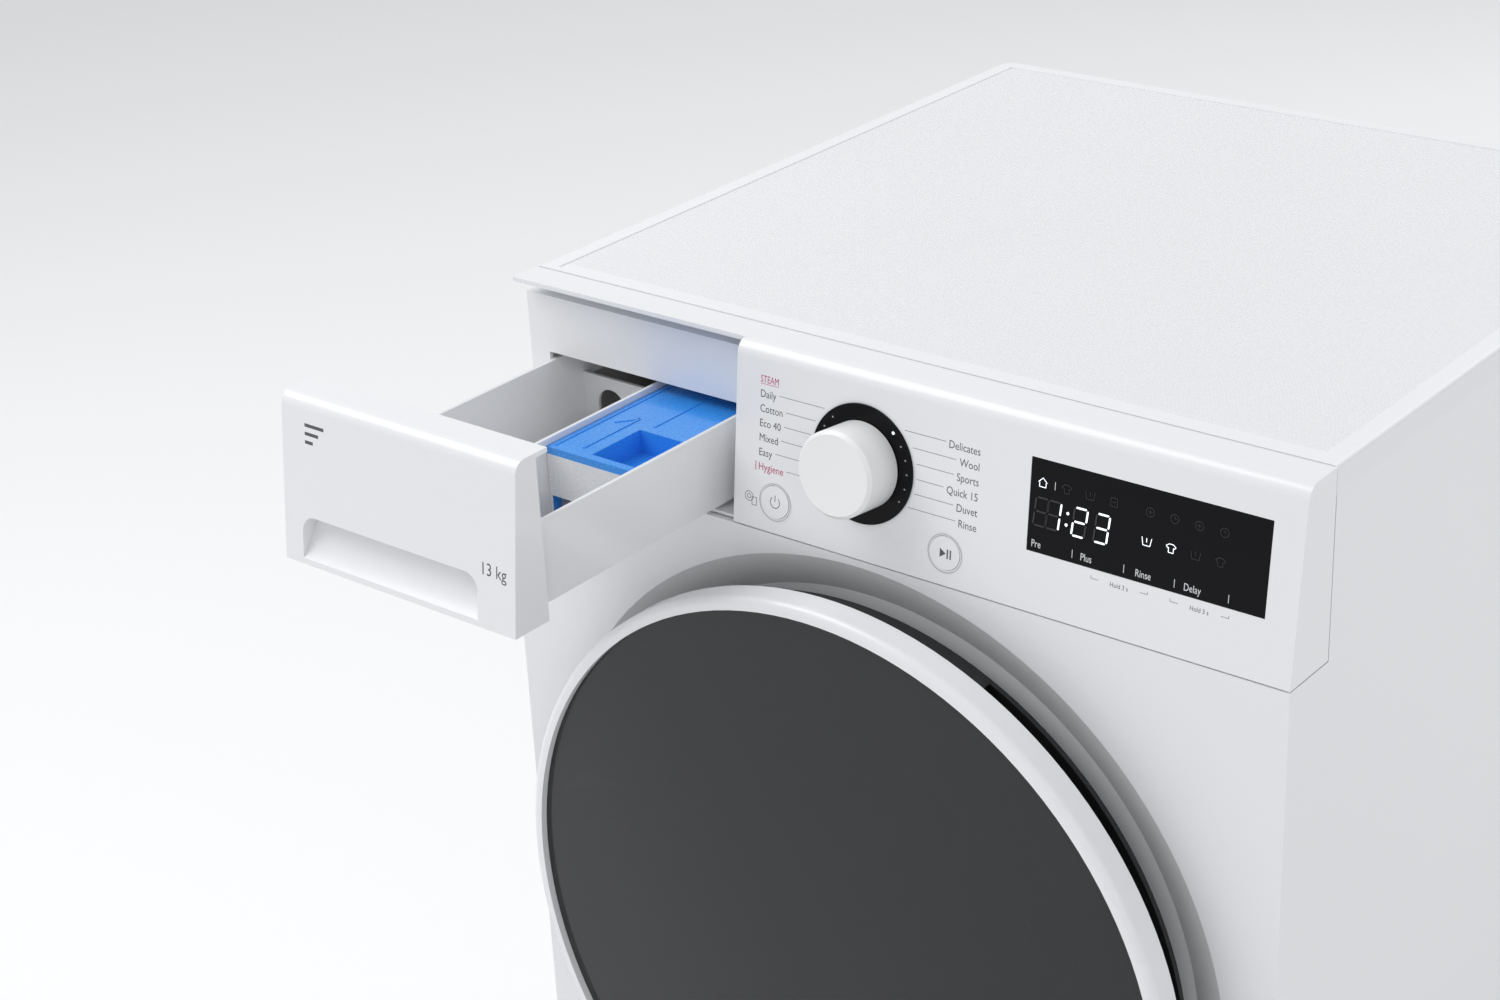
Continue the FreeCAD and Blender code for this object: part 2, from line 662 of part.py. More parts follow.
def top_rail():
    """Folded rail that carries the control panel and ties the side panels."""
    y0 = FACE_Y + RAIL_DEPTH
    x1 = HALF - SHEET - FIT
    strip = box(-x1, x1, y0, y0 + RAIL_WIDTH, COVER_Z - 2 * SHEET, COVER_Z - SHEET)
    web = box(BAY_X + WALL, x1, y0, y0 + SHEET, SEAM_Z - SEAM, COVER_Z - SHEET)
    return fuse(strip, web)


def panel_profile(inset):
    """Cross-section of the control panel in (y, z), shrunk by a wall thickness."""
    return [(face_y(SEAM_Z + inset) + inset, SEAM_Z + inset),
            (face_y(PANEL_TOP - inset) + inset, PANEL_TOP - inset),
            (JOINT_Y + inset, PANEL_TOP - inset), (JOINT_Y + inset, SEAM_Z + inset)]


def rounded_top(solid, y, z, radius):
    """Rounds the long edge between a leaning face and its top."""
    long_edge = edges_at(solid, lambda p: near(p.y, y) and near(p.z, z))
    return solid.makeFillet(radius, long_edge)


def control_panel():
    """Leaning fascia with the drawer bay beside it and openings for the controls."""
    outer = prism_x(panel_profile(0), BAY_X, HALF)
    outer = rounded_top(outer, face_y(PANEL_TOP), PANEL_TOP, TOP_ROUND)
    inner = prism_x(panel_profile(WALL), BAY_X + WALL, HALF - WALL)
    inner = rounded_top(inner, face_y(PANEL_TOP - WALL) + WALL, PANEL_TOP - WALL,
                        TOP_ROUND - WALL)
    fascia = outer.cut(inner)
    join = BAY_X + WALL / 2
    plate_y = FACE_Y + BAY_DEPTH
    floor = box(-HALF, join, FACE_Y + BAY_LIP, plate_y + WALL, SEAM_Z, SEAM_Z + LEDGE)
    plate = box(-HALF, join, plate_y, plate_y + WALL, SEAM_Z, PLATE_TOP)
    shelf = box(-HALF, join, plate_y, JOINT_Y, PLATE_TOP - WALL, PLATE_TOP)
    rise = box(-HALF, join, JOINT_Y - WALL, JOINT_Y, PLATE_TOP - WALL, PANEL_TOP)
    strip = box(-HALF, join, FACE_Y + STRIP_SETBACK, JOINT_Y, PANEL_TOP - WALL, PANEL_TOP)
    panel = fuse(fascia, floor, plate, shelf, rise, strip)
    opening = box(TRAY_X0 - BAY_CLEAR, TRAY_X1 + BAY_CLEAR, plate_y - 1, plate_y + WALL + 1,
                  TRAY_Z0 - BAY_CLEAR, TRAY_Z1 + BAY_HEADROOM)
    holes = [opening, on_face(Part.makeCylinder(SHAFT_HOLE_R, 4 * WALL, Vector(0, 0, -2 * WALL)),
                              DIAL_X, DIAL_Z)]
    for x in (POWER_X, START_X):
        hole = Part.makeCylinder(BUTTON_R + FIT, 4 * WALL, Vector(0, 0, -2 * WALL))
        holes.append(on_face(hole, x, BUTTON_Z))
    screen = Part.makeBox(SCREEN_WIDTH + 2 * FIT, SCREEN_HEIGHT + 2 * FIT, 4 * WALL,
                          Vector(-FIT, -FIT, -2 * WALL))
    holes.append(on_face(screen, SCREEN_X, SCREEN_Z))
    return panel.cut(holes)


def display_window():
    """Glossy window flush with the fascia, with a flange behind it."""
    window = Part.makeBox(SCREEN_WIDTH, SCREEN_HEIGHT, WALL, Vector(0, 0, -WALL))
    flange = Part.makeBox(SCREEN_WIDTH + 2 * SCREEN_FLANGE, SCREEN_HEIGHT + 2 * SCREEN_FLANGE,
                          WALL / 2, Vector(-SCREEN_FLANGE, -SCREEN_FLANGE, -1.5 * WALL - FIT / 3))
    neck = Part.makeBox(SCREEN_WIDTH, SCREEN_HEIGHT, WALL, Vector(0, 0, -WALL - FIT / 3))
    return on_face(fuse(window, neck, flange), SCREEN_X, SCREEN_Z)


def dial_ring():
    disc = Part.makeCylinder(DIAL_R, DIAL_THICK)
    hole = Part.makeCylinder(SHAFT_HOLE_R, DIAL_THICK * 3, Vector(0, 0, -DIAL_THICK))
    return on_face(disc.cut(hole), DIAL_X, DIAL_Z)


def program_knob():
    """Hollow cap with a round shaft."""
    base = DIAL_THICK + KNOB_LIFT
    cap = Part.makeCylinder(KNOB_R, KNOB_HEIGHT, Vector(0, 0, base))
    rim = [edge for edge in cap.Edges if all(near(v.Z, base + KNOB_HEIGHT) for v in edge.Vertexes)]
    cap = cap.makeChamfer(KNOB_BEVEL, rim)
    hollow = Part.makeCylinder(KNOB_R - WALL, KNOB_HEIGHT - 2 * WALL, Vector(0, 0, base))
    shaft = Part.makeCylinder(KNOB_SHAFT_R, KNOB_HEIGHT + ENCODER_DEEP, Vector(0, 0, -ENCODER_DEEP))
    return on_face(cap.cut(hollow).fuse(shaft).removeSplitter(), DIAL_X, DIAL_Z)


def push_button(x):
    """Round button with a flange behind the fascia."""
    stem = Part.makeCylinder(BUTTON_R, WALL + BUTTON_TRAVEL + BUTTON_PROUD + SEAM,
                             Vector(0, 0, -WALL - BUTTON_TRAVEL - SEAM))
    flange = Part.makeCylinder(BUTTON_R + BUTTON_FLANGE, BUTTON_BASE,
                               Vector(0, 0, -WALL - FIT - BUTTON_BASE))
    rear = Part.makeCylinder(SWITCH_R, BUTTON_TRAVEL, Vector(0, 0, -WALL - FIT - BUTTON_BASE
                                                             - BUTTON_TRAVEL))
    return on_face(fuse(stem, flange, rear), x, BUTTON_Z)


def control_board():
    """Circuit board with the encoder, two switches and the display block in front of it."""
    board_y = FACE_Y + BOARD_BACK
    board = box(BAY_X + WALL + BOARD_MARGIN, HALF - WALL - BOARD_MARGIN, board_y,
                board_y + BOARD_THICK, SEAM_Z + 2 * WALL, PANEL_TOP - WALL - TOP_ROUND)
    stop = box(-HALF, HALF, board_y, board_y + 100, 0, HEIGHT)
    encoder = on_face(Part.makeCylinder(ENCODER_R, 60, Vector(0, 0, -60 - WALL - SEAM)),
                      DIAL_X, DIAL_Z)
    bore = on_face(Part.makeCylinder(KNOB_SHAFT_R + RUN, ENCODER_DEEP + SEAM + 20,
                                     Vector(0, 0, -ENCODER_DEEP - SEAM)), DIAL_X, DIAL_Z)
    parts = [encoder.cut(stop).cut(bore)]
    for x in (POWER_X, START_X):
        depth = WALL + FIT + BUTTON_BASE + 2 * BUTTON_TRAVEL + FIT
        switch = Part.makeCylinder(SWITCH_R, 60, Vector(0, 0, -60 - depth))
        parts.append(on_face(switch, x, BUTTON_Z).cut(stop))
    block = Part.makeBox(SCREEN_WIDTH - 4, SCREEN_HEIGHT - 4, 60,
                         Vector(2, 2, -60 - 1.5 * WALL - FIT))
    parts.append(on_face(block, SCREEN_X, SCREEN_Z).cut(stop))
    posts = []
    for x in (BAY_X + WALL + BOARD_POST, HALF - WALL - BOARD_POST):
        post = rod_y(WALL, FACE_Y + WALL, board_y + BOARD_THICK / 2, x, BUTTON_Z)
        front = prism_x(panel_profile(WALL + FIT / 2), -HALF, HALF)
        posts.append(post.common(front))
    return fuse(board, *parts, *posts)


# Detergent drawer, drawn pushed in and then moved out

def scoop(extra):
    """The finger scoop in the drawer front, grown by a wall for its backing."""
    top = CAP_FOOT + SCOOP_TOP + extra
    foot = CAP_FOOT + SCOOP_FOOT - min(extra, 0)
    deep = face_y(top) + SCOOP_DEPTH + extra
    x0 = -HALF + SCOOP_LEFT - extra
    x1 = x0 + SCOOP_WIDTH + 2 * extra
    middle = (face_y(foot) + SCOOP_DEPTH * 0.72 + extra, foot + (top - foot) * 0.42)
    body = prism_x([(FACE_Y - 20, foot), (FACE_Y - 20, top), (deep, top),
                    (middle, (face_y(foot) + extra, foot))], x0, x1)
    upright = rod_y(SCOOP_ROUND, FACE_Y - 30, FACE_Y + 60, x0 + SCOOP_ROUND, top - SCOOP_ROUND)
    other = rod_y(SCOOP_ROUND, FACE_Y - 30, FACE_Y + 60, x1 - SCOOP_ROUND, top - SCOOP_ROUND)
    middle_box = box(x0 + SCOOP_ROUND, x1 - SCOOP_ROUND, FACE_Y - 30, FACE_Y + 60, foot - 1, top)
    lower_box = box(x0, x1, FACE_Y - 30, FACE_Y + 60, foot - 1, top - SCOOP_ROUND)
    mask = upright.multiFuse([other, middle_box, lower_box])
    return body.common(mask)


def drawer_front():
    """Deep cap with a long top lip, a finger scoop and two lugs for the tray."""
    def profile(inset):
        back = FACE_Y + CAP_LIP + inset
        return [(face_y(CAP_FOOT + inset) + inset, CAP_FOOT + inset),
                (face_y(CAP_TOP - inset) + inset, CAP_TOP - inset),
                (back, CAP_TOP - inset), (back, CAP_FOOT + inset)]
    x1 = BAY_X - SEAM
    outer = prism_x(profile(0), -HALF, x1)
    outer = rounded_top(outer, face_y(CAP_TOP), CAP_TOP, CAP_ROUND)
    inner = prism_x(profile(WALL), -HALF + WALL, x1 - WALL)
    inner = rounded_top(inner, face_y(CAP_TOP - WALL) + WALL, CAP_TOP - WALL, CAP_ROUND - WALL)
    behind = box(-HALF - 1, x1 + 1, FACE_Y + CAP_SIDE, FACE_Y + CAP_LIP + 1, CAP_FOOT - 1,
                 CAP_TOP - WALL)
    shell = outer.cut(inner).cut(behind)
    backing = scoop(TRAY_WALL).common(outer)
    lugs = []
    for x in (TRAY_X0 + LUG_INSET, TRAY_X1 - LUG_INSET - LUG_WIDTH):
        lugs.append(box(x, x + LUG_WIDTH, FACE_Y, TRAY_Y0, TRAY_Z1 - LUG_DROP - LUG_HEIGHT,
                        TRAY_Z1 - LUG_DROP).common(outer))
    cap = fuse(shell, backing, *lugs).cut(scoop(0))
    return shift_y(cap, -DRAWER_OPEN)


def detergent_tray():
    """Open tray: main wash compartment, rinse compartment, guide rails behind."""
    outer = box(TRAY_X0, TRAY_X1, TRAY_Y0, TRAY_Y1, TRAY_Z0, TRAY_Z1)
    front_foot = edges_at(outer, lambda p: near(p.y, TRAY_Y0) and near(p.z, TRAY_Z0))
    outer = outer.makeFillet(TRAY_ROUND, front_foot)

    def well(x0, x1):
        inner = box(x0, x1, TRAY_Y0 + TRAY_WALL, TRAY_Y1 - TRAY_WALL, TRAY_Z0 + TRAY_WALL,
                    TRAY_Z1 + 1)
        foot = edges_at(inner, lambda p: near(p.y, TRAY_Y0 + TRAY_WALL)
                        and near(p.z, TRAY_Z0 + TRAY_WALL))
        return inner.makeFillet(TRAY_ROUND - TRAY_WALL, foot)
    main = well(TRAY_X0 + TRAY_WALL, DIVIDER_X)
    rinse = well(DIVIDER_X + TRAY_WALL, TRAY_X1 - TRAY_WALL)
    tray = outer.cut([main, rinse])
    start = TRAY_Y0 + TRAY_WALL / 2
    end = TRAY_Y0 + TRAY_WALL + CHUTE_LENGTH
    low = TRAY_Z0 + TRAY_WALL / 2
    high = TRAY_Z1 - TRAY_WALL * 2
    chute = prism_x([(start, TRAY_Z0 + TRAY_ROUND), (start, high), (start + 2 * TRAY_WALL, high),
                     ((start + CHUTE_LENGTH * 0.38, low + (high - low) * 0.3), (end, low + 1)),
                     (end, low), (start + TRAY_ROUND, low)],
                    DIVIDER_X + TRAY_WALL / 2, TRAY_X1 - TRAY_WALL / 2)
    rails = []
    for x in (TRAY_X0, TRAY_X1 - TRAY_WALL):
        rails.append(box(x, x + TRAY_WALL, TRAY_Y1 - TRAY_WALL, TRAY_Y1 + TRAY_TAIL,
                         TRAY_Z1 - RAIL_HEIGHT, TRAY_Z1))
    tie = box(TRAY_X0, TRAY_X1, TRAY_Y1 + TRAY_TAIL - TRAY_WALL, TRAY_Y1 + TRAY_TAIL,
              TRAY_Z1 - RAIL_HEIGHT, TRAY_Z1 - RAIL_HEIGHT / 2)
    tray = fuse(tray, chute, tie, *rails)
    low_back = box(TRAY_X0 + TRAY_WALL, DIVIDER_X, TRAY_Y1 - 2 * TRAY_WALL, TRAY_Y1 + 1,
                   TRAY_Z1 - BACK_DROP, TRAY_Z1 + 1)
    arches = [low_back]
    for share in (0.29, 0.71):
        x = TRAY_X0 + TRAY_WALL + MAIN_WIDTH * share
        z = TRAY_Z0 + TRAY_WALL + ARCH_HEIGHT - ARCH_WIDTH / 2
        arches.append(rod_y(ARCH_WIDTH / 2, TRAY_Y1 - 2 * TRAY_WALL, TRAY_Y1 + 1, x, z))
        arches.append(box(x - ARCH_WIDTH / 2, x + ARCH_WIDTH / 2, TRAY_Y1 - 2 * TRAY_WALL,
                          TRAY_Y1 + 1, TRAY_Z0 + TRAY_WALL, z))
    return shift_y(tray.cut(arches), -DRAWER_OPEN)


def siphon_insert():
    """Lid of the rinse compartment: a shallow cover with a pocket and a siphon tube."""
    x0 = DIVIDER_X + TRAY_WALL + FIT
    x1 = TRAY_X1 - TRAY_WALL - FIT
    y1 = TRAY_Y1 - TRAY_WALL - FIT
    y0 = y1 - SIPHON_LENGTH
    z1 = TRAY_Z1 - SIPHON_DROP
    z0 = z1 - SIPHON_HEIGHT
    thick = TRAY_WALL * 0.8
    cover = box(x0, x1, y0, y1, z0, z1).cut(box(x0 + thick, x1 - thick, y0 + thick, y1 - thick,
                                                z0 - 1, z1 - thick))
    left = x0 + POCKET_LEFT
    right = x1 - POCKET_MARGIN
    front = y0 + POCKET_MARGIN
    back = front + POCKET_LENGTH
    pocket = box(left, right, front, back, z1 - POCKET_DEEP, z1 + 1)
    well = box(left - thick, right + thick, front - thick, back + thick,
               z1 - POCKET_DEEP - thick, z1 - thick / 2)
    mouth = rod_z(POCKET_MOUTH_R, z1 - POCKET_DEEP - 2 * thick, z1,
                  right - POCKET_MOUTH_R - thick, front + POCKET_MOUTH_R + thick)
    legs = []
    for x in (x0, x1 - thick):
        for y in (y0, y1 - thick * 4):
            legs.append(box(x, x + thick, y, y + thick * 4, TRAY_Z0 + TRAY_WALL + FIT / 2, z0 + 1))
    insert = fuse(cover, well, *legs).cut([pocket, mouth])
    return shift_y(insert, -DRAWER_OPEN)


def dispenser_housing():
    """Box behind the bay that the tray slides into, with nozzles and an outlet."""
    x0 = TRAY_X0 - HOUSING_MARGIN
    x1 = TRAY_X1 + HOUSING_MARGIN
    y0 = FACE_Y + BAY_DEPTH + WALL
    y1 = FACE_Y + HOUSING_END
    z0 = SEAM_Z + LEDGE
    z1 = COVER_Z - HOUSING_DROP
    wall = HOUSING_WALL
    outer = box(x0, x1, y0, y1, z0, z1)
    inner = box(x0 + wall, x1 - wall, y0 - 1, y1 - wall, z0 + wall, z1 - wall)
    outlet = rod_z(SPOUT_R, z0 - SPOUT_LENGTH, z0 + wall / 2, OUTLET_X, FACE_Y + OUTLET_DEPTH)
    spout = rod_z(SPOUT_R - wall, z0 - SPOUT_LENGTH - 1, z0 + wall + 1, OUTLET_X,
                  FACE_Y + OUTLET_DEPTH)
    nozzles = []
    bores = []
    for x in (VALVE_X - PORT_GAP / 2, VALVE_X + PORT_GAP / 2):
        nozzles.append(rod_y(HOSE_BORE_R - FIT / 3, y1 - wall / 2, y1 + NOZZLE, x, VALVE_Z))
        bores.append(rod_y(HOSE_BORE_R - 2, y1 - wall * 2, y1 + NOZZLE + 1, x, VALVE_Z))
    plate = box(x0 + wall, x1 - wall, y0 + wall, y1 - wall / 2, TRAY_Z1 + BAY_HEADROOM + wall,
                TRAY_Z1 + BAY_HEADROOM + 2 * wall)
    guides = [box(x0 + wall / 2, TRAY_X0 - FIT, y0, y1 - wall / 2, TRAY_Z1 - RAIL_HEIGHT, TRAY_Z1),
              box(TRAY_X1 + FIT, x1 - wall / 2, y0, y1 - wall / 2, TRAY_Z1 - RAIL_HEIGHT, TRAY_Z1)]
    for x in (TRAY_X0 + RUNNER_INSET, TRAY_X1 - RUNNER_INSET - WALL):
        guides.append(box(x, x + WALL, y0, y1 - wall / 2, z0 + wall / 2, TRAY_Z0 - FIT))
    body = fuse(outer.cut(inner), outlet, plate, *nozzles, *guides)
    return body.cut([spout] + bores)


# Door

def door_ring():
    front = FACE_Y - RING_FRONT
    back = FACE_Y - RING_BACK
    inner = RING_R - RING_WALL
    bend = RING_ROUND * (1 - math.sqrt(0.5))
    ring = turned([(RING_R, back), (RING_R, front + RING_ROUND),
                   ((RING_R - bend, front + bend), (RING_R - RING_ROUND, front)),
                   (GLASS_R + FIT, front), (GLASS_R + FIT, front + GLASS_DOME),
                   (GLASS_R + FIT, front + LIP_DEPTH - WALL), (LIP_R, front + LIP_DEPTH - WALL),
                   (LIP_R, front + LIP_DEPTH), (inner, front + LIP_DEPTH), (inner, back)])
    notch = box(-RING_R - 1, -RING_R / 2, front + LIP_DEPTH, back + 1, AXIS_Z - HINGE_NOTCH,
                AXIS_Z + HINGE_NOTCH)
    return ring.cut(notch)


def door_glass():
    """Tinted outer window, slightly domed."""
    edge = FACE_Y - RING_FRONT + LIP_DEPTH - WALL
    crown = edge - GLASS_THICK - GLASS_DOME
    curve = (GLASS_R ** 2 + GLASS_DOME ** 2) / (2 * GLASS_DOME)
    outer = Part.makeSphere(curve, Vector(0, crown + curve, AXIS_Z))
    inner = Part.makeSphere(curve, Vector(0, crown + GLASS_THICK + curve, AXIS_Z))
    return rod_y(GLASS_R, crown - 1, edge).common(outer).cut(inner)


def door_frame():
    """Inner frame: a channel round the bowl that holds the ring, hinge and hook."""
    front = FACE_Y - RING_FRONT + LIP_DEPTH + FIT / 3
    back = FACE_Y - FRAME_BACK
    wall = WALL + SHEET
    rim = front + 2 * SHEET
    channel = turned([(FRAME_INNER_R - wall * 2, back), (FRAME_R, back), (FRAME_R, rim),
                      (RING_R - RING_WALL - FIT, rim), (RING_R - RING_WALL - FIT, front),
                      (FRAME_R - wall, front), (FRAME_R - wall, back - wall),
                      (FRAME_INNER_R + wall, back - wall), (FRAME_INNER_R + wall, front),
                      (FRAME_INNER_R, front), (FRAME_INNER_R, back - wall + SHEET),
                      (FRAME_INNER_R - wall * 2, back - wall + SHEET)])
    notch = box(-RING_R, HINGE_X + NOTCH_WIDTH, rim, back + 1,
                AXIS_Z - HINGE_NOTCH, AXIS_Z + HINGE_NOTCH)
    slot = box(LATCH_X - EAR_HALF, LATCH_X + HOOK_BARB + 2, back - wall - 1, back + 1,
               AXIS_Z - LATCH_SLOT + 4, AXIS_Z + LATCH_SLOT - 4)
    pocket_r = FRAME_R - GRIP_DEPTH
    lining = sector(FRAME_R - SHEET, pocket_r - wall, front, back, GRIP_ANGLE)
    pocket = sector(RING_R, pocket_r, rim, back - wall, GRIP_ANGLE - GRIP_END)
    channel = channel.fuse(lining).cut(pocket)
    ears = []
    for z in (AXIS_Z - HOOK_THICK / 2 - FIT - EAR, AXIS_Z + HOOK_THICK / 2 + FIT):
        ears.append(box(LATCH_X - 2 * EAR_HALF, LATCH_X + EAR_HALF, HOOK_Y - EAR_HALF,
                        back - wall + SHEET / 2, z, z + EAR))
    pivot = rod_z(HOOK_PIN_R + RUN, AXIS_Z - 20, AXIS_Z + 20, LATCH_X, HOOK_Y)
    return fuse(channel.cut([notch, slot]), *ears).cut(pivot)


def door_bowl():
    """Deep clear bowl that keeps the wash off the outer window."""
    seat = FACE_Y - FRAME_BACK - WALL
    end = FACE_Y + BOWL_DEPTH
    thick = BOWL_THICK
    rim = FRAME_INNER_R - FIT
    side = end - BOWL_R * 0.16
    return turned([(0, end), (BOWL_END_R * 0.55, end - 1), (BOWL_END_R, side),
                   (BOWL_R, seat), (rim, seat), (rim, seat - thick), (BOWL_R - thick, seat - thick),
                   (BOWL_END_R - thick, side - thick / 2), (BOWL_END_R * 0.55, end - thick - 1),
                   (0, end - thick)])


def hinge_bracket():
    """Fixed plate on the dished panel with two knuckles."""
    face = FACE_Y + DISH_DEPTH
    plate = box(HINGE_X + PLATE_LEFT, HINGE_X + PLATE_RIGHT, face - WALL, face,
                AXIS_Z - HINGE_NOTCH + 2, AXIS_Z + HINGE_NOTCH - 2)
    arms = []
    for z in (AXIS_Z - 2 * KNUCKLE_LENGTH, AXIS_Z + KNUCKLE_LENGTH):
        arm = prism_z([(HINGE_X + ARM_HALF * 0.6, HINGE_Y - ARM_HALF),
                       (HINGE_X + PLATE_RIGHT - 4, face - WALL / 2),
                       (HINGE_X + PLATE_RIGHT - 16, face - WALL / 2),
                       (HINGE_X - ARM_HALF * 0.4, HINGE_Y + ARM_HALF)], z, z + KNUCKLE_LENGTH)
        knuckle = rod_z(KNUCKLE_R, z, z + KNUCKLE_LENGTH, HINGE_X, HINGE_Y)
        arms.append(arm.fuse(knuckle))
    bore = rod_z(PIN_R + RUN, AXIS_Z - HINGE_NOTCH, AXIS_Z + HINGE_NOTCH, HINGE_X, HINGE_Y)
    return fuse(plate, *arms).cut(bore)


def hinge_arm():
    """Door's half of the hinge: one knuckle and a leaf on the inner frame."""
    half = KNUCKLE_LENGTH - FIT
    back = FACE_Y - FRAME_BACK - WALL - SHEET
    leaf = box(HINGE_X + NOTCH_WIDTH - 2, HINGE_X + LEAF_END, back - WALL, back,
               AXIS_Z - half, AXIS_Z + half)
    web = prism_z([(HINGE_X, HINGE_Y - KNUCKLE_R), (HINGE_X + NOTCH_WIDTH, back - WALL),
                   (HINGE_X + NOTCH_WIDTH + 2, back), (HINGE_X + NOTCH_WIDTH - 4, back),
                   (HINGE_X, HINGE_Y + KNUCKLE_R - 2)], AXIS_Z - half, AXIS_Z + half)
    knuckle = rod_z(KNUCKLE_R, AXIS_Z - half, AXIS_Z + half, HINGE_X, HINGE_Y)
    bore = rod_z(PIN_R + RUN, AXIS_Z - half - 1, AXIS_Z + half + 1, HINGE_X, HINGE_Y)
    return fuse(leaf, web, knuckle).cut(bore)


def hinge_pin():
    low = AXIS_Z - 2 * KNUCKLE_LENGTH - WALL / 2
    high = AXIS_Z + 2 * KNUCKLE_LENGTH + WALL / 2
    pin = rod_z(PIN_R, low, high, HINGE_X, HINGE_Y)
    heads = [rod_z(PIN_R + 1.5, z, z + WALL / 2, HINGE_X, HINGE_Y)
             for z in (low, high - WALL / 2)]
    return fuse(pin, *heads)


def door_hook():
    """Spring hook that enters the lock."""
    low = AXIS_Z - HOOK_THICK / 2
    high = AXIS_Z + HOOK_THICK / 2
    tip = FACE_Y + DISH_DEPTH + HOOK_REACH
    blade = prism_z([(LATCH_X - 3, HOOK_Y - 4), (LATCH_X + 3, HOOK_Y - 4), (LATCH_X + 3, tip - 8),
                     (LATCH_X + HOOK_BARB, tip - 6), (LATCH_X + 3, tip), (LATCH_X - 3, tip)], low, high)
    eye = rod_z(HOOK_PIN_R + 3, low, high, LATCH_X, HOOK_Y)
    pin = rod_z(HOOK_PIN_R, low - FIT - EAR, high + FIT + EAR, LATCH_X, HOOK_Y)
    return fuse(blade, eye, pin)


def door_lock():
    """Lock behind the panel with an open pocket for the hook."""
    y0 = FACE_Y + DISH_DEPTH + SHEET
    body = box(LATCH_X - LOCK_LEFT, LATCH_X + LOCK_RIGHT, y0, y0 + LOCK_DEPTH,
               AXIS_Z - LOCK_HALF, AXIS_Z + LOCK_HALF)
    pocket = box(LATCH_X - LATCH_SLOT, LATCH_X + LATCH_SLOT, y0 - 1, y0 + HOOK_REACH + 4,
                 AXIS_Z - LATCH_SLOT, AXIS_Z + LATCH_SLOT)
    return body.cut(pocket)


def gasket():
    """Bellows from the panel's collar to the tub's mouth."""
    a = MOUTH_R - FIT
    b = TUB_MOUTH_R - TUB_COLLAR_WALL - FIT
    t = GASKET_WALL
    y = FACE_Y + DISH_DEPTH + SHEET
    end = FACE_Y + TUB_FRONT + WALL
    return turned([(GASKET_LIP_R, y + 3), (a, y), (a, y + MOUTH_COLLAR + 2),
                   (a + 17, y + 20), (a + 22, y + 31), (a + 17, y + 43), (b, y + 49), (b, end),
                   (b - t, end), (b - t, y + 46), (a + 13, y + 40), (a + 18, y + 31),
                   (a + 13, y + 24), (a - t, y + 18), (a - t, y + 8), (GASKET_LIP_R, y + 7)])


# Tub and drum

def tub_front():
    y0 = FACE_Y + TUB_FRONT
    y1 = FACE_Y + TUB_SPLIT
    t = TUB_WALL
    shell = turned([(TUB_MOUTH_R - TUB_COLLAR_WALL, y0 - TUB_COLLAR), (TUB_MOUTH_R, y0 - TUB_COLLAR),
                    (TUB_MOUTH_R, y0), (TUB_R, y0), (TUB_R, y1 - FLANGE_THICK),
                    (TUB_R + FLANGE_HIGH, y1 - FLANGE_THICK), (TUB_R + FLANGE_HIGH, y1),
                    (TUB_R - t, y1), (TUB_R - t, y0 + t), (TUB_MOUTH_R - TUB_COLLAR_WALL, y0 + t)])
    inlet_y = FACE_Y + OUTLET_DEPTH
    inlet = rod_z(SPOUT_R, AXIS_Z, INLET_TOP, OUTLET_X, inlet_y).cut(
        rod_y(TUB_R - t / 2, y0, y1 + 1))
    bore = rod_z(SPOUT_R - HOUSING_WALL, AXIS_Z + 100, INLET_TOP + 1, OUTLET_X, inlet_y)
    return fuse(shell, inlet).cut(bore)


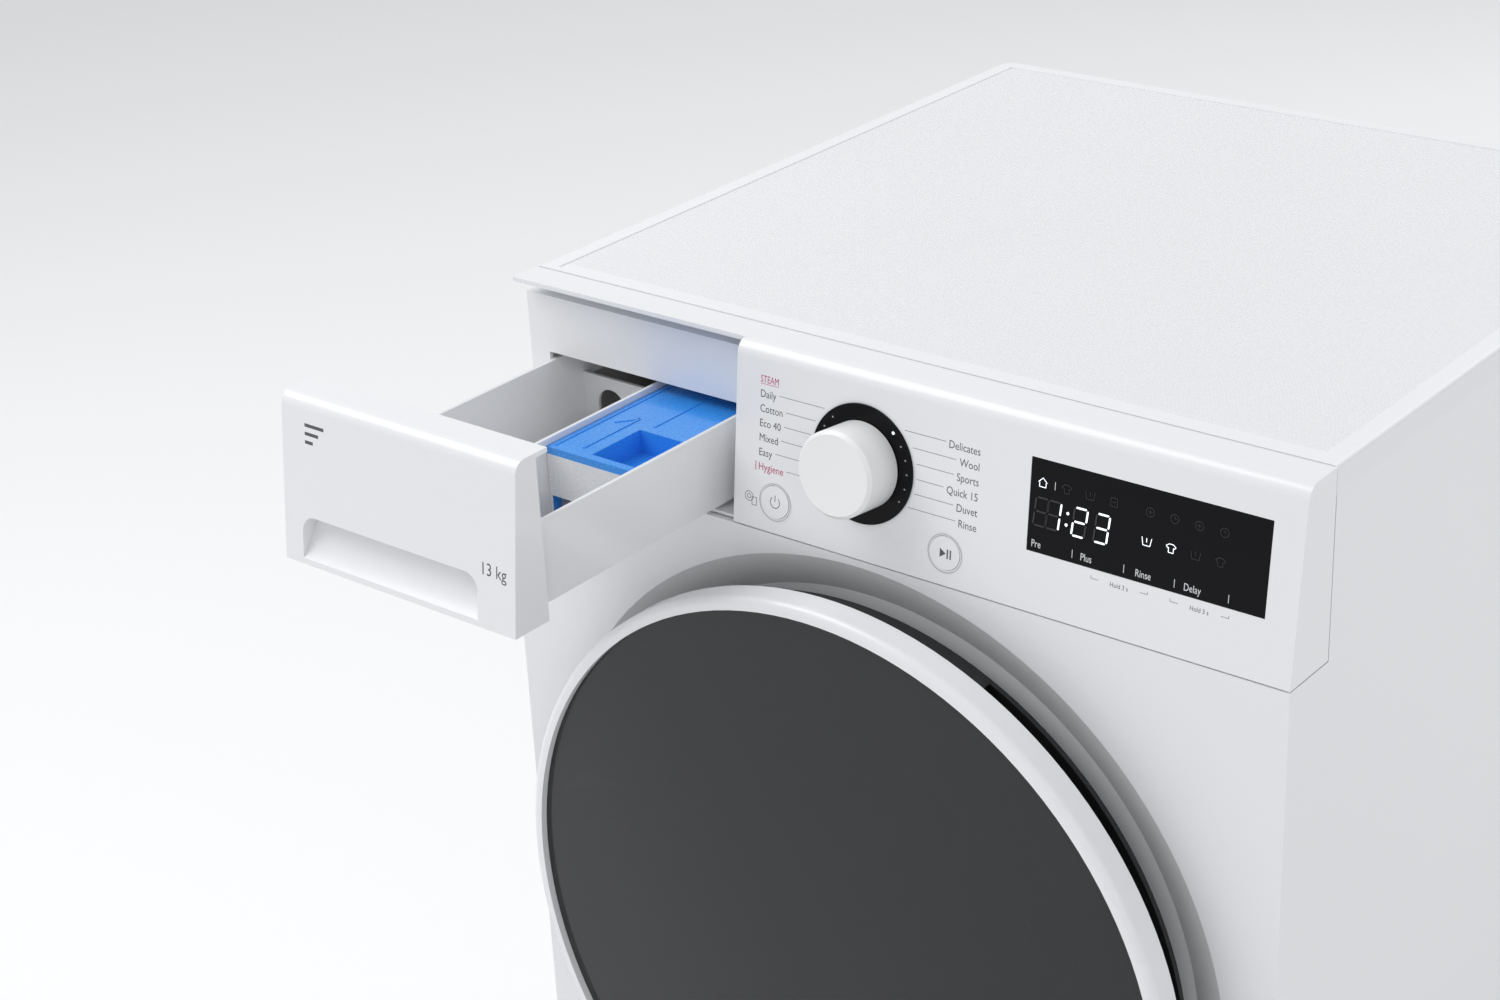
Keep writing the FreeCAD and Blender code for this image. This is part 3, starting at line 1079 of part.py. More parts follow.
def tub_rear():
    """Rear tub with sump, bearing hub, ribs and the lugs of springs and dampers."""
    y0 = FACE_Y + TUB_SPLIT
    y1 = FACE_Y + TUB_BACK
    t = TUB_WALL
    hub_end = FACE_Y + HUB_END
    outer = rod_y(TUB_R, y0, y1)
    sump = box(-SUMP_HALF, SUMP_HALF, y0 + SUMP_START, y1, SUMP_Z, AXIS_Z - TUB_R + 40)
    inner = rod_y(TUB_INNER_R, y0 - 1, y1 - t)
    hollow = box(-SUMP_HALF + t, SUMP_HALF - t, y0 + SUMP_START + t, y1 - t, SUMP_Z + t,
                 AXIS_Z - TUB_R + 60)
    flange = ring_y(TUB_R + FLANGE_HIGH, TUB_R - t / 2, y0, y0 + FLANGE_THICK)
    hub = rod_y(HUB_R, y1 - t, hub_end)
    ribs = []
    for turn in range(RIBS):
        rib = box(HUB_R - 2, TUB_R - 6, y1 - t / 2, y1 + RIB_HIGH, AXIS_Z - t / 2, AXIS_Z + t / 2)
        rib.rotate(Vector(0, 0, AXIS_Z), Vector(0, 1, 0), (turn + 0.5) * 360 / RIBS)
        ribs.append(rib)
    posts = []
    for turn in range(STATOR_POSTS):
        angle = 2 * math.pi * turn / STATOR_POSTS
        posts.append(rod_y(POST_R, y1 - t / 2, FACE_Y + STATOR_FRONT, POST_PITCH_R * math.cos(angle),
                           AXIS_Z + POST_PITCH_R * math.sin(angle)))
    spring_y = FACE_Y + SPRING_DEPTH
    damper_y = FACE_Y + DAMPER_DEPTH
    lugs = [box(TUB_R / 2, SPRING_X + LUG_HALF, spring_y - LUG_HALF, spring_y + LUG_HALF,
                SPRING_FOOT_Z - 2 * LUG_HALF, SPRING_FOOT_Z - FIT),
            box(DAMPER_X - LUG_HALF, DAMPER_X + LUG_HALF, damper_y - LUG_HALF, damper_y + LUG_HALF,
                LUG_Z, AXIS_Z - TUB_R / 2)]
    lugs += [mirrored(lug) for lug in lugs]
    spigot_y = FACE_Y + SUMP_SPIGOT_DEPTH
    spigot = rod_z(SUMP_HOSE_BORE - FIT / 3, SUMP_Z - NOZZLE, SUMP_Z + 1, SUMP_SPIGOT_X, spigot_y)
    drain = rod_z(SUMP_HOSE_BORE - 3, SUMP_Z - NOZZLE - 1, SUMP_Z + t + 1, SUMP_SPIGOT_X, spigot_y)
    shell = fuse(outer, sump, flange, hub, *ribs, *posts, *lugs, spigot)
    port = box(-HEATER_HALF, HEATER_HALF, y1 - t - 1, y1 + 1, SUMP_Z + t + 2, HEATER_Z + 9)
    bore = rod_y(BEARING_R, y1 - t - 1, hub_end + 1)
    return shell.cut([inner, hollow, drain, port, bore])


def heater():
    """Heating loop in the sump on a plate that closes its port."""
    back = FACE_Y + TUB_BACK
    front = FACE_Y + TUB_SPLIT + SUMP_START + 24
    half = HEATER_HALF - 8
    loop = tube([Vector(-half, back, HEATER_Z), Vector(-half, front, HEATER_Z),
                 Vector(half, front, HEATER_Z), Vector(half, back, HEATER_Z)],
                HEATER_R, 1.0, half - 2)
    plate = box(-HEATER_HALF - 6, HEATER_HALF + 6, back, back + 4, SUMP_Z + 1, HEATER_Z + 15)
    pins = [rod_y(2.5, back + 3, back + 14, x, HEATER_Z) for x in (-half, half)]
    return fuse(loop, plate, *pins)


def upper_counterweight():
    """Block on the tub, hollowed to its curve."""
    y0 = FACE_Y + UPPER_START
    y1 = FACE_Y + UPPER_END
    block = box(UPPER_LEFT, UPPER_RIGHT, y0, y1, AXIS_Z + 200, UPPER_TOP)
    upright = [edge for edge in block.Edges if near(edge.Vertexes[0].X, edge.Vertexes[1].X)
               and near(edge.Vertexes[0].Y, edge.Vertexes[1].Y)]
    block = block.makeFillet(10.0, upright)
    clear = rod_y(TUB_R + FLANGE_HIGH + FIT, FACE_Y + TUB_SPLIT - 20,
                  FACE_Y + TUB_SPLIT + FLANGE_THICK + FIT)
    return block.cut([rod_y(TUB_R + FIT, y0 - 1, y1 + 1), clear])


def lower_counterweight():
    """Half ring in front of the tub, under its mouth."""
    y1 = FACE_Y + TUB_FRONT
    ring = ring_y(TUB_R - 2, TUB_MOUTH_R + 15, y1 - LOWER_THICK, y1)
    keep = box(-TUB_R, TUB_R, y1 - LOWER_THICK - 1, y1 + 1, AXIS_Z - TUB_R, AXIS_Z - 70)
    return ring.common(keep)


def bearings_and_seal():
    start = FACE_Y + TUB_BACK - TUB_WALL
    bore = SHAFT_R + RUN
    outer = BEARING_R - RUN
    seal = ring_y(outer, bore, start + 2, start + 9)
    front = ring_y(outer, bore, start + 11, start + 26)
    rear = ring_y(outer, bore, FACE_Y + HUB_END - 17, FACE_Y + HUB_END - 2)
    return [seal, front, rear]


def motor_stator():
    """Wound core bolted to the posts round the hub."""
    y0 = FACE_Y + STATOR_FRONT
    core = ring_y(STATOR_R - 24, STATOR_BORE_R, y0, y0 + STATOR_DEPTH)
    teeth = []
    for turn in range(STATOR_TEETH):
        tooth = box(STATOR_R - 26, STATOR_R - 1, y0 + 2, y0 + STATOR_DEPTH - 2, AXIS_Z - 5,
                    AXIS_Z + 5)
        tooth.rotate(Vector(0, 0, AXIS_Z), Vector(0, 1, 0), turn * 360 / STATOR_TEETH)
        teeth.append(tooth)
    return core.multiFuse(teeth).common(rod_y(STATOR_R, y0 - 1, y0 + STATOR_DEPTH + 1))


def motor_rotor():
    """Magnet cup on the shaft."""
    back = FACE_Y + ROTOR_BACK
    rim = ring_y(ROTOR_R, STATOR_R + AIR_GAP, FACE_Y + STATOR_FRONT + 2, back)
    disc = rod_y(ROTOR_R, back - WALL, back)
    hub = rod_y(STATOR_BORE_R / 2, FACE_Y + HUB_END + 4, back)
    return fuse(rim, disc, hub).cut(rod_y(SHAFT_R + RUN, FACE_Y, back + 1))


def drum_shell():
    y0 = FACE_Y + DRUM_FRONT
    y1 = FACE_Y + DRUM_BACK
    t = DRUM_WALL
    return turned([(0, y1), (0, y1 - t), (DRUM_R - t, y1 - t), (DRUM_R - t, y0 + t),
                   (DRUM_MOUTH_R + 4, y0 + t), (DRUM_MOUTH_R + 2, y0 - 4), (DRUM_MOUTH_R, y0 - 6),
                   (DRUM_MOUTH_R + 3, y0 - 7), (DRUM_MOUTH_R + 5, y0), (DRUM_R, y0), (DRUM_R, y1)])


def spider_and_shaft():
    """Three-armed spider behind the drum, and the shaft in it."""
    y0 = FACE_Y + DRUM_BACK
    arms = [rod_y(SPIDER_HUB_R, y0, y0 + 17)]
    for turn in range(3):
        arm = box(10, DRUM_R - 6, y0, y0 + 12, AXIS_Z - 17, AXIS_Z + 17)
        arm.rotate(Vector(0, 0, AXIS_Z), Vector(0, 1, 0), 90 + turn * 120)
        arms.append(arm)
    spider = fuse(*arms).cut(rod_y(SHAFT_R, y0 - 1, y0 + 20))
    shaft = rod_y(SHAFT_R, y0, FACE_Y + ROTOR_BACK + 4)
    nut = ring_y(SHAFT_R + 7, SHAFT_R - 1, FACE_Y + ROTOR_BACK, FACE_Y + ROTOR_BACK + 9)
    return [spider, fuse(shaft, nut)]


def drum_lifters():
    """Three paddles on the drum's wall."""
    lifters = []
    y0 = FACE_Y + (DRUM_FRONT + DRUM_BACK - LIFTER_LENGTH) / 2
    seat = DRUM_R - DRUM_WALL - FIT
    half = LIFTER_BASE / 2
    top = AXIS_Z - seat + LIFTER_HEIGHT
    for turn in range(3):
        paddle = prism_y([(-half, AXIS_Z - seat - 5), (-half, AXIS_Z - seat + 7), (-8, top),
                          (8, top), (half, AXIS_Z - seat + 7), (half, AXIS_Z - seat - 5)],
                         y0, y0 + LIFTER_LENGTH)
        edge = [e for e in paddle.Edges if all(near(v.Z, top) for v in e.Vertexes)
                and near(abs(e.Vertexes[0].X - e.Vertexes[1].X), 0)]
        paddle = paddle.makeFillet(6.0, edge).common(rod_y(seat, y0 - 1, y0 + LIFTER_LENGTH + 1))
        paddle.rotate(Vector(0, 0, AXIS_Z), Vector(0, 1, 0), 30 + turn * 120)
        lifters.append(paddle)
    return lifters


# Suspension

def hanger_brackets():
    """Arms inside the side panels that the springs hang from."""
    y = FACE_Y + SPRING_DEPTH
    x0 = HALF - SHEET
    plate = box(x0 - 2 * SHEET, x0, y - 30, y + 30, SPRING_HEAD_Z - 30, COVER_Z - SHEET)
    arm = box(SPRING_X - LUG_HALF, x0, y - LUG_HALF, y + LUG_HALF, SPRING_HEAD_Z + FIT,
              SPRING_HEAD_Z + FIT + WALL)
    side = fuse(plate, arm)
    return [side, mirrored(side)]


def suspension_springs():
    y = FACE_Y + SPRING_DEPTH
    coil = rod_z(SPRING_R, SPRING_FOOT_Z, SPRING_HEAD_Z, SPRING_X, y).cut(
        rod_z(SPRING_R - SPRING_WIRE, SPRING_FOOT_Z + 4, SPRING_HEAD_Z - 4, SPRING_X, y))
    return [coil, mirrored(coil)]


def damper_cylinders():
    y = FACE_Y + DAMPER_DEPTH
    body = rod_z(DAMPER_R, BOSS_TOP, DAMPER_TOP_Z, DAMPER_X, y)
    bore = rod_z(DAMPER_R - WALL, BOSS_TOP + WALL, DAMPER_TOP_Z - 2 * WALL, DAMPER_X, y)
    hole = rod_z(ROD_R + RUN, DAMPER_TOP_Z - 20, DAMPER_TOP_Z + 1, DAMPER_X, y)
    body = body.cut([bore, hole])
    return [body, mirrored(body)]


def damper_rods():
    y = FACE_Y + DAMPER_DEPTH
    rod = rod_z(ROD_R, PISTON_Z, LUG_Z, DAMPER_X, y)
    piston = rod_z(DAMPER_R - WALL - FIT, PISTON_Z, PISTON_Z + 14, DAMPER_X, y)
    head = rod_z(ROD_R + 4, LUG_Z - 10, LUG_Z, DAMPER_X, y)
    body = fuse(rod, piston, head)
    return [body, mirrored(body)]


# Water path

def inlet_valve():
    """Double valve with two threaded ports through the rear sheet."""
    y1 = REAR_Y - SHEET
    xs = (VALVE_X - PORT_GAP / 2, VALVE_X + PORT_GAP / 2)
    body = box(xs[0] - 20, xs[1] + 20, y1 - 22, y1, VALVE_Z - 18, VALVE_Z + 18)
    coils = [rod_y(13, y1 - 46, y1 - 20, x, VALVE_Z) for x in xs]
    ports = [rod_y(PORT_R, y1 - 1, BACK_Y - PORT_INSET, x, VALVE_Z) for x in xs]
    tails = [rod_y(HOSE_BORE_R - FIT / 3, y1 - 46 - NOZZLE, y1 - 45, x, VALVE_Z) for x in xs]
    bores = [rod_y(PORT_R - 4, y1 - 4, BACK_Y, x, VALVE_Z) for x in xs]
    bores += [rod_y(HOSE_BORE_R - 2, y1 - 47 - NOZZLE, y1 - 10, x, VALVE_Z) for x in xs]
    return fuse(body, *coils, *ports, *tails).cut(bores)


def valve_hoses():
    """Two straight hoses from the valve to the dispenser's nozzles."""
    y0 = FACE_Y + HOUSING_END + FIT
    y1 = REAR_Y - SHEET - 46 - FIT
    return [ring_y(HOSE_R, HOSE_BORE_R, y0, y1, x, VALVE_Z)
            for x in (VALVE_X - PORT_GAP / 2, VALVE_X + PORT_GAP / 2)]


def fill_hose():
    """Soft sleeve from the dispenser's spout to the tub."""
    y = FACE_Y + OUTLET_DEPTH
    low = INLET_TOP - NOZZLE
    high = SEAM_Z + LEDGE - SPOUT_LENGTH + NOZZLE
    outer = rod_z(SPOUT_R + 3.5, low, high, OUTLET_X, y)
    return outer.cut(rod_z(SPOUT_R + FIT / 3, low - 1, high + 1, OUTLET_X, y))


def drain_pump():
    """Filter housing, pump chamber and motor on one axis behind the flap."""
    y0 = FACE_Y + PUMP_START
    wall = WALL
    front = rod_y(FILTER_R, y0, y0 + FILTER_LENGTH, PUMP_X, PUMP_Z)
    chamber = rod_y(CHAMBER_R, y0 + FILTER_LENGTH - wall, y0 + FILTER_LENGTH + CHAMBER_LENGTH,
                    PUMP_X, PUMP_Z)
    motor = rod_y(FILTER_R, y0 + FILTER_LENGTH + CHAMBER_LENGTH - 1, y0 + PUMP_LENGTH, PUMP_X, PUMP_Z)
    side_y = y0 + SUMP_PORT_DEPTH
    inlet = rod_x(SUMP_HOSE_BORE - FIT / 3, PUMP_X - FILTER_R - NOZZLE, PUMP_X - 10, side_y, PUMP_Z)
    out_y = y0 + FILTER_LENGTH + CHAMBER_LENGTH / 2
    outlet = rod_x(DRAIN_BORE_R - FIT / 3, PUMP_X + 10, PUMP_X + CHAMBER_R + NOZZLE / 2, out_y, DRAIN_Z)
    foot = box(PUMP_X - 18, PUMP_X + 18, out_y - 8, out_y + 8, FLOOR_GAP + WALL, PUMP_Z - 20)
    body = fuse(front, chamber, motor, inlet, outlet, foot)
    hollow = rod_y(FILTER_R - wall, y0 - 1, y0 + FILTER_LENGTH - wall, PUMP_X, PUMP_Z)
    spin = rod_y(CHAMBER_R - wall, y0 + FILTER_LENGTH, y0 + FILTER_LENGTH + CHAMBER_LENGTH - wall,
                 PUMP_X, PUMP_Z)
    eye = rod_y(14, y0 + 10, y0 + FILTER_LENGTH + 1, PUMP_X, PUMP_Z)
    ports = [rod_x(SUMP_HOSE_BORE - 3, PUMP_X - FILTER_R - NOZZLE - 1, PUMP_X - 15, side_y, PUMP_Z),
             rod_x(DRAIN_BORE_R - 2, PUMP_X + 15, PUMP_X + CHAMBER_R + NOZZLE, out_y, DRAIN_Z)]
    shaft = rod_y(IMPELLER_SHAFT_R + RUN, y0 + FILTER_LENGTH, y0 + FILTER_LENGTH + CHAMBER_LENGTH
                  + SHAFT_SEAT, PUMP_X, PUMP_Z)
    return body.cut([hollow, spin, eye, shaft] + ports)


def pump_impeller():
    """Four blades on a shaft in the pump chamber."""
    y0 = FACE_Y + PUMP_START + FILTER_LENGTH
    y1 = y0 + CHAMBER_LENGTH - WALL
    hub = rod_y(7, y0 + 5, y1 - 2, PUMP_X, PUMP_Z)
    blades = []
    for turn in range(4):
        blade = box(PUMP_X, PUMP_X + CHAMBER_R - WALL - 4, y0 + 6, y1 - 3, PUMP_Z - 1, PUMP_Z + 1)
        blade.rotate(Vector(PUMP_X, 0, PUMP_Z), Vector(0, 1, 0), 45 + turn * 90)
        blades.append(blade)
    shaft = rod_y(IMPELLER_SHAFT_R, y0 + 5, y1 + WALL + SHAFT_SEAT - 2, PUMP_X, PUMP_Z)
    return fuse(hub, shaft, *blades)


def filter_cap():
    """Screw-in filter with a grip and a lint basket."""
    y0 = FACE_Y + PUMP_START
    bore = FILTER_R - WALL - RUN
    plug = rod_y(bore, y0, y0 + 14, PUMP_X, PUMP_Z)
    head = rod_y(FILTER_R, y0 - 4, y0, PUMP_X, PUMP_Z)
    grip = box(PUMP_X - 22, PUMP_X + 22, y0 - CAP_GRIP, y0 - 3, PUMP_Z - 3, PUMP_Z + 3)
    basket = ring_y(bore - 4, bore - 6, y0 + 12, y0 + FILTER_LENGTH - 14, PUMP_X, PUMP_Z)
    slots = [box(PUMP_X - 30, PUMP_X + 30, y0 + 20 + i * 10, y0 + 25 + i * 10, PUMP_Z - 8, PUMP_Z + 8)
             for i in range(BASKET_SLOTS)]
    return fuse(plug, head, grip, basket.cut(slots))


def filter_flap():
    """Flap over the filter, on two pivots near its foot."""
    y0 = FACE_Y
    x1 = FLAP_X + FLAP_WIDTH
    plate = box(FLAP_X, x1, y0, y0 + FLAP_THICK, FLAP_Z, FLAP_Z + FLAP_HEIGHT)
    axis_y = FACE_Y + FLAP_AXIS_RISE
    axis_z = FLAP_Z + FLAP_AXIS_RISE
    parts = []
    for x in (FLAP_X + 1, x1 - 5):
        parts.append(rod_x(FLAP_PIN_R + 1.8, x, x + 4, axis_y, axis_z))
        parts.append(box(x, x + 4, y0 + 1, axis_y, axis_z - 3, axis_z + 3))
    parts.append(rod_x(FLAP_PIN_R, FLAP_X - FLAP_EAR, FLAP_X + 2, axis_y, axis_z))
    parts.append(rod_x(FLAP_PIN_R, x1 - 2, x1 + FLAP_EAR, axis_y, axis_z))
    return fuse(plate, *parts)


def sump_hose():
    """From the sump's spigot down and forward to the filter housing."""
    y_end = FACE_Y + PUMP_START + SUMP_PORT_DEPTH
    x_end = PUMP_X - FILTER_R - FIT
    start = Vector(SUMP_SPIGOT_X, FACE_Y + SUMP_SPIGOT_DEPTH, SUMP_Z - FIT)
    return tube([start, Vector(start.x, start.y, PUMP_Z), Vector(x_end - SUMP_RUN, y_end, PUMP_Z),
                 Vector(x_end, y_end, PUMP_Z)], SUMP_HOSE_R, SUMP_HOSE_BORE, SUMP_BEND)


def drain_hose():
    """From the pump up the rear corner to the outlet spigot, and the spigot itself."""
    y0 = FACE_Y + PUMP_START + FILTER_LENGTH + CHAMBER_LENGTH / 2
    x0 = PUMP_X + CHAMBER_R + FIT
    y1 = REAR_Y - DRAIN_REAR
    hose = tube([Vector(x0, y0, DRAIN_Z), Vector(SPIGOT_X, y0, DRAIN_Z),
                 Vector(SPIGOT_X, y1, DRAIN_Z), Vector(SPIGOT_X, y1, SPIGOT_Z),
                 Vector(SPIGOT_X, REAR_Y - 2 * SHEET, SPIGOT_Z)], DRAIN_R, DRAIN_BORE_R, DRAIN_BEND)
    barb = rod_y(DRAIN_BORE_R - FIT / 3, REAR_Y - 2 * SHEET - NOZZLE, REAR_Y, SPIGOT_X, SPIGOT_Z)
    pipe = rod_y(SPIGOT_R, REAR_Y - SHEET, BACK_Y - PORT_INSET, SPIGOT_X, SPIGOT_Z)
    collar = rod_y(SPIGOT_R + 3, REAR_Y + SHEET, REAR_Y + 2 * SHEET, SPIGOT_X, SPIGOT_Z)
    bore = rod_y(DRAIN_BORE_R - 2, REAR_Y - 2 * NOZZLE, BACK_Y, SPIGOT_X, SPIGOT_Z)
    return [hose, fuse(barb, pipe, collar).cut(bore)]


def levelling_foot(x, y):
    """Rubber pad, threaded stem and lock nut."""
    pad = rod_z(FOOT_R, 0, PAD_HEIGHT, x, y)
    rim = [edge for edge in pad.Edges if all(near(v.Z, 0) for v in edge.Vertexes)]
    pad = pad.makeChamfer(1.0, rim)
    stem = rod_z(STEM_R, 1, BOSS_TOP + 2, x, y)
    nut = rod_z(STEM_R + 5, PAD_HEIGHT + 2, FLOOR_GAP - FIT, x, y)
    return fuse(pad, stem, nut)


def transit_caps():
    return [fuse(rod_y(TRANSIT_R + 5, REAR_Y + SHEET, REAR_Y + SHEET + WALL, x, z),
                 rod_y(TRANSIT_R, REAR_Y - 8, REAR_Y + SHEET + 1, x, z)) for x, z in TRANSIT_PLACES]


def cord_gland():
    flange = rod_y(GLAND_R + 5, REAR_Y + SHEET, REAR_Y + SHEET + WALL, -GLAND_X, GLAND_Z)
    body = rod_y(GLAND_R, REAR_Y - 10, REAR_Y + SHEET + 1, -GLAND_X, GLAND_Z)
    return fuse(flange, body).cut(rod_y(GLAND_BORE, REAR_Y - 20, BACK_Y, -GLAND_X, GLAND_Z))


def cover_screws():
    """Screws of the back cover and of the hinge bracket."""
    screws = []
    edge = COVER_RIM / 2
    for x in (-COVER_HALF - edge, 0, COVER_HALF + edge):
        for z in (COVER_LOW - edge, (COVER_LOW + COVER_HIGH) / 2, COVER_HIGH + edge):
            if x or z != (COVER_LOW + COVER_HIGH) / 2:
                screws.append(rod_y(4, REAR_Y + 2 * SHEET, REAR_Y + 2 * SHEET + 2, x, z))
    return screws


def main():
    os.makedirs("parts", exist_ok=True)
    left = side_panel()
    save("side_panel_left", left)
    save("side_panel_right", mirrored(left))
    save("rear_frame", rear_frame())
    save("back_cover", back_cover())
    save("base_tray", base_tray())
    save("front_panel", front_panel())
    save("top_cover", top_cover())
    save("top_rail", top_rail())
    save("control_panel", control_panel())
    save("display_window", display_window())
    save("dial_ring", dial_ring())
    save("control_board", control_board())
    save("program_knob", program_knob())
    save("power_button", push_button(POWER_X))
    save("start_button", push_button(START_X))
    save("dispenser_housing", dispenser_housing())
    save("drawer_front", drawer_front())
    save("detergent_tray", detergent_tray())
    save("siphon_insert", siphon_insert())
    save("door_ring", door_ring())
    save("door_glass", door_glass())
    save("door_frame", door_frame())
    save("door_bowl", door_bowl())
    save("hinge_bracket", hinge_bracket())
    save("hinge_arm", hinge_arm())
    save("hinge_pin", hinge_pin())
    save("door_hook", door_hook())
    save("door_lock", door_lock())
    save("door_gasket", gasket())
    save("tub_front", tub_front())
    save("tub_rear", tub_rear())
    save("heater", heater())
    save("upper_counterweight", upper_counterweight())
    save("lower_counterweight", lower_counterweight())
    save("bearings_and_seal", *bearings_and_seal())
    save("motor_stator", motor_stator())
    save("motor_rotor", motor_rotor())
    save("drum_shell", drum_shell())
    save("spider_and_shaft", *spider_and_shaft())
    save("drum_lifters", *drum_lifters())
    save("hanger_brackets", *hanger_brackets())
    save("suspension_springs", *suspension_springs())
    save("damper_cylinders", *damper_cylinders())
    save("damper_rods", *damper_rods())
    save("inlet_valve", inlet_valve())
    save("valve_hoses", *valve_hoses())
    save("fill_hose", fill_hose())
    save("drain_pump", drain_pump())
    save("pump_impeller", pump_impeller())
    save("filter_cap", filter_cap())
    save("filter_flap", filter_flap())
    save("sump_hose", sump_hose())
    save("drain_hose", *drain_hose())
    for name, (x, y) in zip(FOOT_NAMES, FOOT_PLACES):
        save("foot_" + name, levelling_foot(x, y))
    save("transit_caps", *transit_caps())
    save("cord_gland", cord_gland())
    save("cover_screws", *cover_screws())


main()
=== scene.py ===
"""Front load washing machine: finishes, prints and fine pieces round its CAD frame."""
import json
import math

import bpy
from bpy.props import FloatProperty, FloatVectorProperty, IntProperty, PointerProperty
from mathutils import Matrix, Vector


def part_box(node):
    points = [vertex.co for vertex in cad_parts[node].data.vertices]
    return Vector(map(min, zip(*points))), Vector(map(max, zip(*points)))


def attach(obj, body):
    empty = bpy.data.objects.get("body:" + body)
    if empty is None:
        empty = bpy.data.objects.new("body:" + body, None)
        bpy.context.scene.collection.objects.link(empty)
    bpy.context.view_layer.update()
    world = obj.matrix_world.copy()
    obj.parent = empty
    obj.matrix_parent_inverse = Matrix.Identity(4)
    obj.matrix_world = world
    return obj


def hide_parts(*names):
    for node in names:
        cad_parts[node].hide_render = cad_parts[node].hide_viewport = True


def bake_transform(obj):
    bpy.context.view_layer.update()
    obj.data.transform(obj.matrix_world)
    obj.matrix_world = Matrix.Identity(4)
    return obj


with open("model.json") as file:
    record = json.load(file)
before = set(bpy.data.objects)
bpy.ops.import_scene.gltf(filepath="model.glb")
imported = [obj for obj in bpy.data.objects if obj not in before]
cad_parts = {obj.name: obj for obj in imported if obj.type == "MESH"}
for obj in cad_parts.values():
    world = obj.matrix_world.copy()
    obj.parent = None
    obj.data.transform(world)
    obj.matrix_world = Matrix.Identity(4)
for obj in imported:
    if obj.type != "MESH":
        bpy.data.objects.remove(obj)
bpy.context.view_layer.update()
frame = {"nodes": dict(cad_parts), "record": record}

bl_info = {
    "name": "Front load washing machine",
    "version": (1, 0, 0),
    "blender": (4, 5, 0),
    "location": "View3D > Sidebar > Washer",
    "description": "Adds the finishes, prints, bellows, springs and lights of a washing machine",
    "category": "Object",
}

MM = 0.001
FULL_TURN = 2 * math.pi
MERGE_GAP = 0.01 * MM
DIGIT_SLANT = 0.09
LEAN = math.radians(6.5)
RIGHT = Vector((1, 0, 0))
UP = Vector((0, math.sin(LEAN), math.cos(LEAN)))
OUT = Vector((0, -math.cos(LEAN), math.sin(LEAN)))


def middle(node):
    """Centre of a node's box."""
    low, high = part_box(node)
    return (low + high) / 2


PANEL_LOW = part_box("control_panel")[0]
DRAWER_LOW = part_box("drawer_front")[0]
SCREEN_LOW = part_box("display_window")[0]
FACE_Y = PANEL_LOW.y
SEAM_Z = PANEL_LOW.z
DIAL = middle("dial_ring")
DRUM = middle("drum_shell")


# Settings

class WasherColours(bpy.types.PropertyGroup):
    """Colours of the finishes that show most."""

    cabinet: FloatVectorProperty(
        name="Cabinet", description="Painted steel and white mouldings", subtype="COLOR",
        size=3, min=0, max=1, default=(0.83, 0.835, 0.85))
    band: FloatVectorProperty(
        name="Door band", description="Grey wall behind the door's white ring", subtype="COLOR",
        size=3, min=0, max=1, default=(0.36, 0.37, 0.39))
    glass: FloatVectorProperty(
        name="Door glass", description="Tint of the smoked outer window", subtype="COLOR",
        size=3, min=0, max=1, default=(0.045, 0.046, 0.05))
    siphon: FloatVectorProperty(
        name="Siphon insert", description="Softener cover in the tray", subtype="COLOR",
        size=3, min=0, max=1, default=(0.045, 0.32, 0.9))
    print_grey: FloatVectorProperty(
        name="Print", description="Ink of the programme names", subtype="COLOR",
        size=3, min=0, max=1, default=(0.09, 0.09, 0.1))
    print_accent: FloatVectorProperty(
        name="Accent print", description="Ink of the steam programmes", subtype="COLOR",
        size=3, min=0, max=1, default=(0.45, 0.02, 0.13))


class WasherSizes(bpy.types.PropertyGroup):
    """Sizes of the prints and fine pieces."""

    text_height: FloatProperty(
        name="Text size", description="Height of the programme names", unit="LENGTH",
        default=7.2 * MM, min=1 * MM, max=12 * MM)
    row_pitch: FloatProperty(
        name="Row pitch", description="Between two programme names", unit="LENGTH",
        default=9.6 * MM, min=5 * MM, max=20 * MM)
    print_lift: FloatProperty(
        name="Print thickness", description="Ink over the surface it lies on", unit="LENGTH",
        default=0.06 * MM, min=0.01 * MM, max=0.5 * MM)
    spring_turns: IntProperty(
        name="Spring turns", description="Coils of each suspension spring",
        default=22, min=4, max=60)
    bellows_folds: IntProperty(
        name="Bellows folds", description="Folds of the hoses between tub and cabinet",
        default=7, min=2, max=20)
    hole_rows: IntProperty(
        name="Drum hole rows", description="Rows of holes along the drum",
        default=15, min=2, max=40)


def colours():
    return bpy.context.scene.washer_colours


def sizes():
    return bpy.context.scene.washer_sizes


# Mesh helpers

def deselect():
    if bpy.context.object and bpy.context.object.mode != "OBJECT":
        bpy.ops.object.mode_set(mode="OBJECT")
    bpy.ops.object.select_all(action="DESELECT")


def apply_place(piece):
    """Moves the object's place into its mesh."""
    deselect()
    piece.select_set(True)
    bpy.context.view_layer.objects.active = piece
    bpy.ops.object.transform_apply(location=True, rotation=True, scale=True)


def place(piece, matrix):
    """Puts a piece that was made round the origin at its place."""
    piece.data.transform(matrix)
    piece.data.update()


def frame_at(origin, right, up):
    """Matrix with local X to the right, Y up and Z out of a surface."""
    out = right.cross(up)
    matrix = Matrix((right, up, out)).transposed().to_4x4()
    matrix.translation = origin
    return matrix


def on_face(x, z, lift=0.0):
    """Point on the leaning face of the control panel."""
    return Vector((x, FACE_Y + (z - SEAM_Z) * math.tan(LEAN), z)) + OUT * lift


